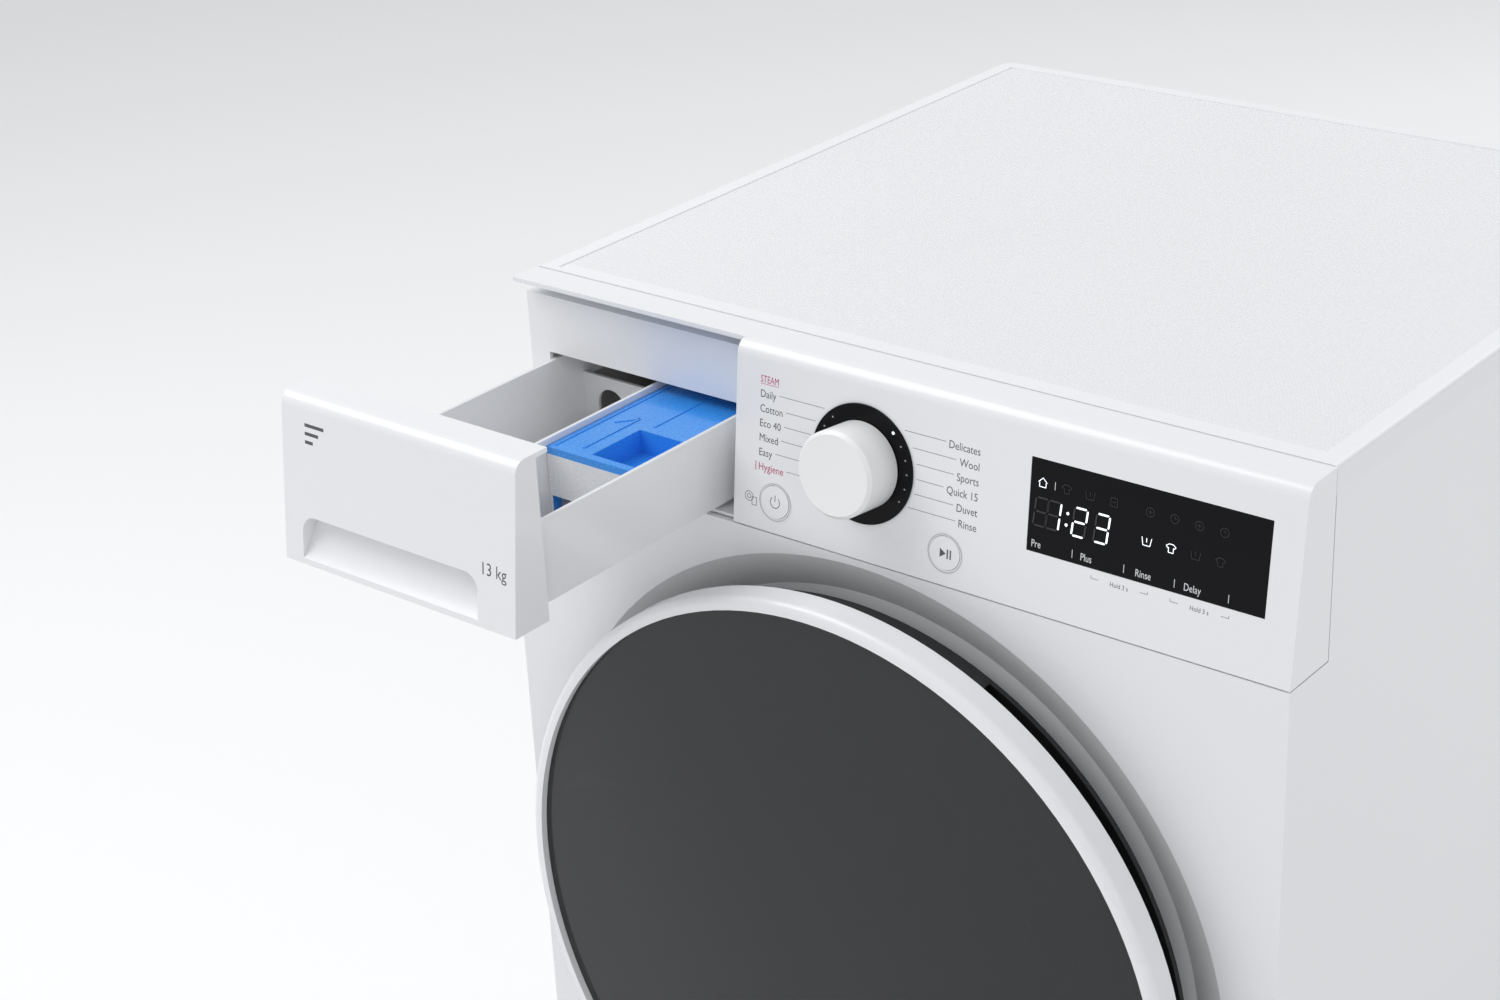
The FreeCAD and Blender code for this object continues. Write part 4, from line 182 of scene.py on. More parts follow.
def join(parts, name):
    """Joins parts into one named object."""
    deselect()
    for part in parts:
        part.select_set(True)
    bpy.context.view_layer.objects.active = parts[0]
    if len(parts) > 1:
        bpy.ops.object.join()
    piece = bpy.context.object
    piece.name = name
    piece.data.name = name
    return piece


def settle(piece, material, body):
    """Gives a finished piece its material, slot and body; a blended piece has no body here."""
    piece.data.materials.clear()
    piece.data.materials.append(material)
    if body:
        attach(piece, body)
    return piece


def words(text, origin, height, align="LEFT", width=0.86):
    """One line of text as a thin closed mesh on the leaning face."""
    deselect()
    bpy.ops.object.text_add()
    line = bpy.context.object
    line.data.body = text
    line.data.size = height
    line.data.align_x = align
    line.data.align_y = "CENTER"
    line.data.extrude = sizes().print_lift / 2
    line.data.resolution_u = 3
    bpy.ops.object.convert(target="MESH")
    line = bpy.context.object
    place(line, frame_at(origin, RIGHT, UP) @ Matrix.Diagonal((width, 1, 1, 1)))
    return line


def bar(start, end, width, lift=None, out=OUT):
    """A thin printed stroke between two points of a surface."""
    deselect()
    bpy.ops.mesh.primitive_cube_add(size=1)
    stroke = bpy.context.object
    along = (end - start).normalized()
    across = out.cross(along)
    matrix = Matrix((along * (end - start).length, across * width,
                     out * (lift or sizes().print_lift))).transposed().to_4x4()
    matrix.translation = (start + end) / 2
    place(stroke, matrix)
    return stroke


def ring(origin, radius, width, start=0.0, sweep=FULL_TURN, steps=40):
    """A printed circle or arc on the leaning face, counted from up towards the right."""
    closed = math.isclose(sweep, FULL_TURN)
    half = sizes().print_lift / 2
    outer, inner = radius + width / 2, radius - width / 2
    vertices, faces = [], []
    count = steps if closed else steps + 1
    for i in range(count):
        angle = start + sweep * i / steps
        ray = UP * math.cos(angle) + RIGHT * math.sin(angle)
        for reach, height in ((outer, half), (inner, half), (inner, -half), (outer, -half)):
            vertices.append(origin + ray * reach + OUT * height)
    for i in range(steps):
        a = 4 * i
        b = 4 * ((i + 1) % count)
        for j in range(4):
            k = (j + 1) % 4
            faces.append((a + j, a + k, b + k, b + j))
    if not closed:
        last = 4 * (count - 1)
        faces.append((3, 2, 1, 0))
        faces.append((last, last + 1, last + 2, last + 3))
    return shell(vertices, faces, "ring")


def shell(vertices, faces, name):
    """A closed mesh from worked-out vertices, with its faces turned outwards."""
    deselect()
    bpy.ops.mesh.primitive_plane_add(size=1)
    piece = bpy.context.object
    bpy.ops.object.mode_set(mode="EDIT")
    bpy.ops.mesh.delete(type="VERT")
    bpy.ops.object.mode_set(mode="OBJECT")
    piece.data.from_pydata(vertices, [], faces)
    outward(piece)
    piece.name = name
    return piece


def outward(piece):
    """Turns every face of a closed shell outwards."""
    deselect()
    piece.select_set(True)
    bpy.context.view_layer.objects.active = piece
    bpy.ops.object.mode_set(mode="EDIT")
    bpy.ops.mesh.select_all(action="SELECT")
    bpy.ops.mesh.normals_make_consistent(inside=False)
    bpy.ops.object.mode_set(mode="OBJECT")


def disc(origin, radius, lift=None):
    """A printed dot on the leaning face."""
    deselect()
    bpy.ops.mesh.primitive_cylinder_add(vertices=24, radius=radius,
                                        depth=lift or sizes().print_lift)
    dot = bpy.context.object
    place(dot, frame_at(origin, RIGHT, UP))
    return dot


def lathe(profile, foot, axis, steps, name):
    """Spins a closed outline of (radius, distance along the axis) about an axis through foot."""
    deselect()
    bpy.ops.mesh.primitive_circle_add(vertices=len(profile), radius=1)
    piece = bpy.context.object
    for vertex, (radius, along) in zip(piece.data.vertices, profile):
        vertex.co = foot + RIGHT * radius + axis * along
    bpy.ops.object.mode_set(mode="EDIT")
    bpy.ops.mesh.select_all(action="SELECT")
    bpy.ops.mesh.spin(steps=steps, angle=FULL_TURN, center=foot, axis=axis)
    bpy.ops.mesh.select_all(action="SELECT")
    bpy.ops.mesh.remove_doubles(threshold=MERGE_GAP)
    bpy.ops.mesh.normals_make_consistent(inside=False)
    bpy.ops.object.mode_set(mode="OBJECT")
    apply_place(piece)
    piece.name = name
    smooth(piece)
    return piece


def smooth(piece):
    """Shades a piece smooth but for its sharp edges."""
    deselect()
    piece.select_set(True)
    bpy.context.view_layer.objects.active = piece
    bpy.ops.object.shade_smooth_by_angle(angle=math.radians(35))


# Shader groups

def new_group(name, inputs, outputs):
    """A shader node group with float or colour sockets."""
    group = bpy.data.node_groups.new(name, "ShaderNodeTree")
    for label, kind, value in inputs:
        socket = group.interface.new_socket(name=label, in_out="INPUT", socket_type=kind)
        socket.default_value = value
    for label, kind in outputs:
        group.interface.new_socket(name=label, in_out="OUTPUT", socket_type=kind)
    return group, group.nodes.new("NodeGroupInput"), group.nodes.new("NodeGroupOutput")


def math_node(tree, operation, a, b):
    """A Math node fed by sockets or plain values; gives its output."""
    node = tree.nodes.new("ShaderNodeMath")
    node.operation = operation
    for socket, value in zip(node.inputs, (a, b)):
        if hasattr(value, "links"):
            tree.links.new(value, socket)
        else:
            socket.default_value = value
    return node.outputs[0]


def surface_group():
    """Fine moulding grain, slow tone drift and roughness drift."""
    tree, source, sink = new_group(
        "surface_grain",
        (("Colour", "NodeSocketColor", (0.8, 0.8, 0.8, 1)), ("Drift", "NodeSocketFloat", 0.04),
         ("Grain scale", "NodeSocketFloat", 900.0), ("Roughness", "NodeSocketFloat", 0.4),
         ("Roughness drift", "NodeSocketFloat", 0.06)),
        (("Colour", "NodeSocketColor"), ("Roughness", "NodeSocketFloat"),
         ("Height", "NodeSocketFloat")))
    place_node = tree.nodes.new("ShaderNodeTexCoord")
    slow = tree.nodes.new("ShaderNodeTexNoise")
    slow.inputs["Scale"].default_value = 5.0
    slow.inputs["Detail"].default_value = 3.0
    tree.links.new(place_node.outputs["Object"], slow.inputs["Vector"])
    fine = tree.nodes.new("ShaderNodeTexNoise")
    fine.inputs["Detail"].default_value = 4.0
    tree.links.new(place_node.outputs["Object"], fine.inputs["Vector"])
    tree.links.new(source.outputs["Grain scale"], fine.inputs["Scale"])
    centred = math_node(tree, "SUBTRACT", slow.outputs["Fac"], 0.5)
    swing = math_node(tree, "MULTIPLY", centred, source.outputs["Drift"])
    tone = math_node(tree, "ADD", swing, 1.0)
    shade = tree.nodes.new("ShaderNodeVectorMath")
    shade.operation = "SCALE"
    tree.links.new(source.outputs["Colour"], shade.inputs[0])
    tree.links.new(tone, shade.inputs["Scale"])
    tree.links.new(shade.outputs[0], sink.inputs["Colour"])
    fine_part = math_node(tree, "SUBTRACT", fine.outputs["Fac"], 0.5)
    both = math_node(tree, "ADD", centred, fine_part)
    change = math_node(tree, "MULTIPLY", both, source.outputs["Roughness drift"])
    tree.links.new(math_node(tree, "ADD", change, source.outputs["Roughness"]),
                   sink.inputs["Roughness"])
    tree.links.new(fine.outputs["Fac"], sink.inputs["Height"])
    return tree


def brushed_group():
    """Long fine scratches along one axis of the object."""
    tree, source, sink = new_group(
        "brushed_lines",
        (("Stretch", "NodeSocketVector", (1.0, 0.02, 1.0)), ("Scale", "NodeSocketFloat", 700.0),
         ("Roughness", "NodeSocketFloat", 0.28), ("Roughness drift", "NodeSocketFloat", 0.2)),
        (("Roughness", "NodeSocketFloat"), ("Height", "NodeSocketFloat")))
    place_node = tree.nodes.new("ShaderNodeTexCoord")
    stretch = tree.nodes.new("ShaderNodeVectorMath")
    stretch.operation = "MULTIPLY"
    tree.links.new(place_node.outputs["Object"], stretch.inputs[0])
    tree.links.new(source.outputs["Stretch"], stretch.inputs[1])
    lines = tree.nodes.new("ShaderNodeTexNoise")
    lines.inputs["Detail"].default_value = 5.0
    tree.links.new(stretch.outputs[0], lines.inputs["Vector"])
    tree.links.new(source.outputs["Scale"], lines.inputs["Scale"])
    centred = math_node(tree, "SUBTRACT", lines.outputs["Fac"], 0.5)
    change = math_node(tree, "MULTIPLY", centred, source.outputs["Roughness drift"])
    tree.links.new(math_node(tree, "ADD", change, source.outputs["Roughness"]),
                   sink.inputs["Roughness"])
    tree.links.new(lines.outputs["Fac"], sink.inputs["Height"])
    return tree


def stipple_group():
    """Small round dimples in staggered rows, kept off a smooth border."""
    tree, source, sink = new_group(
        "stipple",
        (("Pitch", "NodeSocketFloat", 0.005), ("Half width", "NodeSocketFloat", 0.28),
         ("Front", "NodeSocketFloat", -0.15), ("Back", "NodeSocketFloat", 0.39)),
        (("Height", "NodeSocketFloat"),))
    place_node = tree.nodes.new("ShaderNodeTexCoord")
    split = tree.nodes.new("ShaderNodeSeparateXYZ")
    tree.links.new(place_node.outputs["Object"], split.inputs[0])
    turn = math_node(tree, "DIVIDE", FULL_TURN, source.outputs["Pitch"])
    waves = []
    for operation in ("ADD", "SUBTRACT"):
        slant = math_node(tree, operation, split.outputs["X"], split.outputs["Y"])
        waves.append(math_node(tree, "SINE", math_node(tree, "MULTIPLY", slant, turn), 0.0))
    dots = math_node(tree, "MULTIPLY", *waves)
    inside_x = math_node(tree, "LESS_THAN", math_node(tree, "ABSOLUTE", split.outputs["X"], 0.0),
                         source.outputs["Half width"])
    after = math_node(tree, "GREATER_THAN", split.outputs["Y"], source.outputs["Front"])
    before = math_node(tree, "LESS_THAN", split.outputs["Y"], source.outputs["Back"])
    mask = math_node(tree, "MULTIPLY", inside_x, math_node(tree, "MULTIPLY", after, before))
    tree.links.new(math_node(tree, "MULTIPLY", dots, mask), sink.inputs["Height"])
    return tree


# Materials

def finish(name, colour, roughness, drift=0.04, grain=900.0, grain_depth=0.00002,
           roughness_drift=0.06, **shader):
    """Moulded, painted or cast material with its own grain; extra words set shader sockets."""
    material = bpy.data.materials.new(name)
    material.use_nodes = True
    tree = material.node_tree
    bsdf = tree.nodes["Principled BSDF"]
    for label, value in shader.items():
        bsdf.inputs[label.replace("_", " ").title().replace("Ior", "IOR")].default_value = value
    grain_node = tree.nodes.new("ShaderNodeGroup")
    grain_node.node_tree = bpy.data.node_groups["surface_grain"]
    grain_node.inputs["Colour"].default_value = (*colour, 1)
    grain_node.inputs["Drift"].default_value = drift
    grain_node.inputs["Grain scale"].default_value = grain
    grain_node.inputs["Roughness"].default_value = roughness
    grain_node.inputs["Roughness drift"].default_value = roughness_drift
    tree.links.new(grain_node.outputs["Colour"], bsdf.inputs["Base Color"])
    tree.links.new(grain_node.outputs["Roughness"], bsdf.inputs["Roughness"])
    bump = tree.nodes.new("ShaderNodeBump")
    bump.inputs["Strength"].default_value = 1.0
    bump.inputs["Distance"].default_value = grain_depth
    tree.links.new(grain_node.outputs["Height"], bump.inputs["Height"])
    tree.links.new(bump.outputs["Normal"], bsdf.inputs["Normal"])
    return material


def brushed(name, colour, roughness, stretch=(1.0, 0.02, 1.0), depth=0.00003):
    """Brushed or drawn metal."""
    material = finish(name, colour, roughness, metallic=1.0)
    tree = material.node_tree
    bsdf = tree.nodes["Principled BSDF"]
    lines = tree.nodes.new("ShaderNodeGroup")
    lines.node_tree = bpy.data.node_groups["brushed_lines"]
    lines.inputs["Stretch"].default_value = stretch
    lines.inputs["Roughness"].default_value = roughness
    bump = tree.nodes["Bump"]
    bump.inputs["Distance"].default_value = depth
    tree.links.new(lines.outputs["Roughness"], bsdf.inputs["Roughness"])
    tree.links.new(lines.outputs["Height"], bump.inputs["Height"])
    return material


def glowing(name, colour, strength):
    """Lit segment of the display."""
    material = finish(name, colour, 0.4)
    bsdf = material.node_tree.nodes["Principled BSDF"]
    bsdf.inputs["Emission Color"].default_value = (*colour, 1)
    bsdf.inputs["Emission Strength"].default_value = strength
    return material


def two_tone(material, second, mask_output, tree):
    """Mixes a second colour over a material's own by a mask."""
    bsdf = tree.nodes["Principled BSDF"]
    base = bsdf.inputs["Base Color"].links[0].from_socket
    mix = tree.nodes.new("ShaderNodeMix")
    mix.data_type = "RGBA"
    tree.links.new(mask_output, mix.inputs["Factor"])
    tree.links.new(base, mix.inputs["A"])
    mix.inputs["B"].default_value = (*second, 1)
    tree.links.new(mix.outputs["Result"], bsdf.inputs["Base Color"])
    return material


def stippled_white(white):
    """Top cover: dimpled field inside a smooth raised border."""
    material = finish("stippled_white", white, 0.42, drift=0.02, coat_weight=0.1)
    tree = material.node_tree
    low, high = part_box("top_cover")
    border = 15 * MM
    dimple_depth = 0.26 * MM
    dots = tree.nodes.new("ShaderNodeGroup")
    dots.node_tree = bpy.data.node_groups["stipple"]
    dots.inputs["Half width"].default_value = high.x - border
    dots.inputs["Front"].default_value = low.y + border
    dots.inputs["Back"].default_value = high.y - border
    bump = tree.nodes["Bump"]
    bump.inputs["Distance"].default_value = dimple_depth
    tree.links.new(dots.outputs["Height"], bump.inputs["Height"])
    return material


def door_band():
    """Grey wall of the door; its inside and back edge are near-black, painted shade for the gap
    behind the white ring.
    """
    material = finish("door_band", tuple(colours().band), 0.34, coat_weight=0.2)
    tree = material.node_tree
    low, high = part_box("door_frame")
    wall_thickness = 1.5 * MM
    back_edge = 4.6 * MM
    # painted shade: near-black on the inside and back edge of the door wall, where the gap behind
    # the ring lies in shade
    painted_shade_black = (0.012, 0.012, 0.013)
    reach = (high.z - low.z) / 2
    coordinate = tree.nodes.new("ShaderNodeTexCoord")
    split = tree.nodes.new("ShaderNodeSeparateXYZ")
    tree.links.new(coordinate.outputs["Object"], split.inputs[0])
    x = split.outputs["X"]
    z = math_node(tree, "SUBTRACT", split.outputs["Z"], (high.z + low.z) / 2)
    square = math_node(tree, "ADD", math_node(tree, "MULTIPLY", x, x),
                       math_node(tree, "MULTIPLY", z, z))
    radius = math_node(tree, "SQRT", square, 0.0)
    # mask of the painted shade: the inside of the wall and its back edge
    inner = math_node(tree, "LESS_THAN", radius, reach - wall_thickness)
    edge = math_node(tree, "GREATER_THAN", split.outputs["Y"], high.y - back_edge)
    dark = math_node(tree, "MAXIMUM", inner, edge)
    return two_tone(material, painted_shade_black, dark, tree)


def siphon_lid(blue, white):
    """Blue cover whose front wall turns white under its edge, as the tray's own wall is."""
    material = finish("siphon_blue", blue, 0.28, drift=0.18, coat_weight=0.4, grain=500.0,
                      grain_depth=0.000002)
    tree = material.node_tree
    low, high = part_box("siphon_insert")
    lid_thickness = 5 * MM
    front_skin = 0.5 * MM
    coordinate = tree.nodes.new("ShaderNodeTexCoord")
    split = tree.nodes.new("ShaderNodeSeparateXYZ")
    tree.links.new(coordinate.outputs["Object"], split.inputs[0])
    below = math_node(tree, "LESS_THAN", split.outputs["Z"], high.z - lid_thickness)
    front = math_node(tree, "LESS_THAN", split.outputs["Y"], low.y + front_skin)
    return two_tone(material, white, math_node(tree, "MULTIPLY", below, front), tree)


def make_materials():
    """Every finish by its slot name."""
    surface_group()
    brushed_group()
    stipple_group()
    chosen = colours()
    white = tuple(chosen.cabinet)
    return {
        "white_plastic": finish("white_plastic", white, 0.3, coat_weight=0.35,
                                coat_roughness=0.12, drift=0.02),
        "textured_white": stippled_white(white),
        "white_steel": finish("white_steel", white, 0.34, grain=450.0, grain_depth=0.00004,
                              coat_weight=0.3, coat_roughness=0.15, drift=0.02),
        "zinc_steel": brushed("zinc_steel", (0.56, 0.57, 0.58), 0.42, (1.0, 1.0, 0.05)),
        "stainless": brushed("stainless", (0.62, 0.62, 0.61), 0.24, (1.0, 0.03, 1.0)),
        "pin_steel": brushed("pin_steel", (0.6, 0.6, 0.6), 0.2, (1.0, 1.0, 0.2)),
        "knob_white": finish("knob_white", (0.86, 0.86, 0.86), 0.36, drift=0.02,
                             grain=1400.0, coat_weight=0.15),
        "black_gloss": finish("black_gloss", (0.005, 0.005, 0.006), 0.12, grain=300.0,
                              grain_depth=0.000001, specular_ior_level=0.12),
        "black_plastic": finish("black_plastic", (0.02, 0.02, 0.021), 0.5, grain=1100.0,
                                grain_depth=0.00008),
        "grey_plastic": finish("grey_plastic", (0.42, 0.43, 0.44), 0.45, grain=800.0,
                               grain_depth=0.00006),
        "siphon_blue": siphon_lid(tuple(chosen.siphon), white),
        "grey_rubber": finish("grey_rubber", (0.3, 0.305, 0.31), 0.6, grain=600.0,
                              grain_depth=0.0001, drift=0.12),
        "black_rubber": finish("black_rubber", (0.02, 0.02, 0.02), 0.65, grain=700.0,
                               grain_depth=0.0001, drift=0.1),
        "tub_plastic": finish("tub_plastic", (0.6, 0.6, 0.58), 0.5, grain=260.0,
                              grain_depth=0.0001, drift=0.08),
        "concrete": finish("concrete", (0.42, 0.415, 0.4), 0.9, grain=180.0,
                           grain_depth=0.0008, drift=0.3, roughness_drift=0.15),
        "board_green": finish("board_green", (0.02, 0.16, 0.06), 0.4, grain=500.0, drift=0.2),
        "iron_core": finish("iron_core", (0.12, 0.12, 0.125), 0.55, grain=500.0, drift=0.25,
                            grain_depth=0.0002, metallic=0.8),
        "cast_aluminium": finish("cast_aluminium", (0.55, 0.55, 0.56), 0.45, grain=420.0,
                                 grain_depth=0.0002, metallic=1.0),
        "clear_glass": finish("clear_glass", (0.86, 0.9, 0.9), 0.04, grain=60.0,
                              grain_depth=0.00001, transmission_weight=0.9, ior=1.47),
        "smoked_glass": finish("smoked_glass", tuple(chosen.glass), 0.04, grain=8.0,
                               grain_depth=0.0000001, roughness_drift=0.01,
                               transmission_weight=0.55, ior=1.42),
        "door_band": door_band(),
        "print_grey": finish("print_grey", tuple(chosen.print_grey), 0.55),
        "print_accent": finish("print_accent", tuple(chosen.print_accent), 0.5),
        "print_light": finish("print_light", (0.42, 0.42, 0.43), 0.5),
        # painted shade: near-black for the shade seen through holes
        "dark_hole": finish("dark_hole", (0.006, 0.006, 0.006), 0.9),
        "ghost_segment": finish("ghost_segment", (0.022, 0.022, 0.024), 0.5),
        "lit_segment": glowing("lit_segment", (0.9, 0.94, 1.0), 0.9),
        "option_print": glowing("option_print", (0.5, 0.51, 0.53), 0.35),
    }


MATERIALS = {}


class WASHER_OT_finishes(bpy.types.Operator):
    """Give every CAD piece its finish"""

    bl_idname = "washer.finishes"
    bl_label = "Finishes"

    def execute(self, context):
        MATERIALS.update(make_materials())
        slots = {row["node"]: row["material_slot"] for row in frame["record"]["subparts"]}
        slots["door_frame"] = "door_band"
        for name, node in frame["nodes"].items():
            material = MATERIALS[slots[name]]
            if not node.material_slots:
                node.data.materials.append(material)
            for slot in node.material_slots:
                slot.material = material
        return {"FINISHED"}


class WASHER_OT_programme_prints(bpy.types.Operator):
    """Print the programme names and their leader lines round the dial"""

    bl_idname = "washer.programme_prints"
    bl_label = "Programme prints"

    def execute(self, context):
        pitch = sizes().row_pitch
        height = sizes().text_height
        left = ("Daily", "Cotton", "Eco 40", "Mixed", "Easy")
        right = ("Delicates", "Wool", "Sports", "Quick 15", "Duvet", "Rinse")
        left_x = DIAL.x - 81 * MM
        right_x = DIAL.x + 86 * MM
        top = DIAL.z + 2.85 * pitch
        gap = 2.5 * MM
        stroke = 0.32 * MM
        leader_rise = 1.2 * MM
        ring_reach = 41 * MM
        least_reach = 0.66 * ring_reach
        heading_height, heading_width = 0.92 * height, 0.74
        rule_drop = 2.9 * MM
        tick_gap, tick_half, tick_width = 2 * MM, 3 * MM, 0.6 * MM
        grey = []
        strokes = []

        def row(index):
            return top - index * pitch

        def leader(x, z, side):
            reach = math.sqrt(max(ring_reach ** 2 - (z - DIAL.z) ** 2, least_reach ** 2))
            start = on_face(x, z + leader_rise)
            end = on_face(DIAL.x + side * reach, z + leader_rise)
            strokes.append(bar(start, end, stroke))

        for index, name in enumerate(left + ("Hygiene",)):
            line = words(name, on_face(left_x, row(index)), height)
            if index < len(left):
                grey.append(line)
            else:
                accent_line = line
            leader(max(v.co.x for v in line.data.vertices) + gap, row(index), -1)
        for index, name in enumerate(right):
            line = words(name, on_face(right_x, row(index)), height, align="RIGHT")
            grey.append(line)
            leader(min(v.co.x for v in line.data.vertices) - gap, row(index), 1)
        heading = words("STEAM", on_face(left_x, row(-1)), heading_height, width=heading_width)
        edge = max(v.co.x for v in heading.data.vertices)
        rule_z = row(-1) - rule_drop
        rule = bar(on_face(left_x, rule_z), on_face(edge, rule_z), stroke)
        tick_x = left_x - tick_gap
        tick = bar(on_face(tick_x, row(5) - tick_half), on_face(tick_x, row(5) + tick_half),
                   tick_width)
        settle(join(grey, "programme_names"), MATERIALS["print_grey"], "cabinet")
        settle(join(strokes, "leader_lines"), MATERIALS["print_grey"], "cabinet")
        settle(join([heading, rule, tick, accent_line], "steam_names"), MATERIALS["print_accent"],
               "cabinet")
        return {"FINISHED"}


class WASHER_OT_dial_dots(bpy.types.Operator):
    """Place the pilot lamps on the dial's black ring"""

    bl_idname = "washer.dial_dots"
    bl_label = "Dial lamps"

    def execute(self, context):
        radius = 34.3 * MM
        height = 0.6 * MM
        thickness = 0.2 * MM
        lit_radius, dark_radius = 1.0 * MM, 0.55 * MM
        lit_angle = 42
        dark_angles = (58, 73, 88, 104, 120, 240, 256, 272, 287, 302, 318)

        def spot(angle):
            turn = math.radians(angle)
            return DIAL + (UP * math.cos(turn) + RIGHT * math.sin(turn)) * radius + OUT * height

        lamp = disc(spot(lit_angle), lit_radius, thickness)
        dark = [disc(spot(angle), dark_radius, thickness) for angle in dark_angles]
        settle(join(dark, "dial_lamps"), MATERIALS["print_light"], "cabinet")
        settle(join([lamp], "dial_lamp_lit"), MATERIALS["lit_segment"], "cabinet")
        return {"FINISHED"}


class WASHER_OT_key_icons(bpy.types.Operator):
    """Print the signs and circles of the two keys"""

    bl_idname = "washer.key_icons"
    bl_label = "Key signs"

    def execute(self, context):
        stroke = 0.55 * MM
        for node, body in (("power_button", "power_key"), ("start_button", "start_key")):
            low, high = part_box(node)
            centre = (low + high) / 2
            radius = (high.x - low.x) / 2
            depth = max((vertex.co - centre).dot(OUT)
                        for vertex in frame["nodes"][node].data.vertices)
            spot = centre + OUT * depth
            if body == "power_key":
                signs = power_sign(spot, stroke)
            else:
                signs = start_sign(spot)
            settle(join(signs, body + "_sign"), MATERIALS["print_grey"], body)
            edge = ring(spot, radius - 0.9 * MM, 0.4 * MM, steps=64)
            settle(join([edge], body + "_edge"), MATERIALS["print_light"], body)
        signs = service_sign(on_face(DIAL.x - 86.5 * MM, DIAL.z - 43.5 * MM))
        settle(join(signs, "service_sign"), MATERIALS["print_grey"], "cabinet")
        return {"FINISHED"}


def power_sign(spot, stroke):
    """An open ring with a stroke through its gap."""
    radius = 3.7 * MM
    gap_end, sweep = math.radians(38), math.radians(284)
    low, high = 0.6 * MM, 4.8 * MM
    return [ring(spot, radius, stroke, gap_end, sweep),
            bar(spot + UP * low, spot + UP * high, stroke)]


def start_sign(spot):
    """A triangle and two upright bars."""
    width, height = 4.4 * MM, 6.0 * MM
    signs = [triangle(spot - RIGHT * 3.6 * MM, width, height)]
    for x in (2.0 * MM, 4.2 * MM):
        base = spot + RIGHT * x
        signs.append(bar(base - UP * height / 2, base + UP * height / 2, 1.0 * MM))
    return signs


def service_sign(spot):
    """Two rings, one in the other, over the corner of an upright card."""
    stroke = 0.4 * MM
    lens = spot - RIGHT * 1.2 * MM + UP * 1.2 * MM
    card = spot + RIGHT * 3.0 * MM - UP * 1.4 * MM
    across, up = RIGHT * 1.8 * MM, UP * 2.6 * MM
    corners = [card - across - up, card + across - up, card + across + up, card - across + up]
    signs = [ring(lens, 3.2 * MM, stroke), ring(lens, 1.4 * MM, stroke)]
    signs += [bar(a, b, stroke) for a, b in zip(corners, corners[1:] + corners[:1])]
    return signs


def triangle(left, width, height):
    """A printed triangle that points right."""
    deselect()
    bpy.ops.mesh.primitive_cylinder_add(vertices=3, radius=1, depth=sizes().print_lift)
    sign = bpy.context.object
    corners = (left + UP * height / 2, left + RIGHT * width, left - UP * height / 2)
    turns = (0, FULL_TURN / 3, -FULL_TURN / 3)
    lift = OUT * sizes().print_lift / 2
    for vertex in sign.data.vertices:
        turn = math.atan2(vertex.co.x, vertex.co.y)
        best = min(range(3), key=lambda k: abs(turn - turns[k]))
        vertex.co = corners[best] + (lift if vertex.co.z > 0 else -lift)
    outward(sign)
    return sign


def segment(centre, length, width, upright):
    """One bevelled bar of a seven segment digit, leaning like its neighbours."""
    up = UP + RIGHT * DIGIT_SLANT
    along, across = (up, RIGHT) if upright else (RIGHT, up)
    deselect()
    bpy.ops.mesh.primitive_cylinder_add(vertices=6, radius=1, depth=1)
    bar_piece = bpy.context.object
    half, tip = length / 2, width / 2
    outline = ((half, 0), (half - tip, tip), (tip - half, tip), (-half, 0),
               (tip - half, -tip), (half - tip, -tip))
    lift = OUT * sizes().print_lift
    for vertex in bar_piece.data.vertices:
        turn = math.atan2(vertex.co.x, vertex.co.y) % FULL_TURN
        a, b = outline[round(turn / (FULL_TURN / 6)) % 6]
        vertex.co = centre + along * a + across * b + (lift if vertex.co.z > 0 else -lift)
    outward(bar_piece)
    return bar_piece


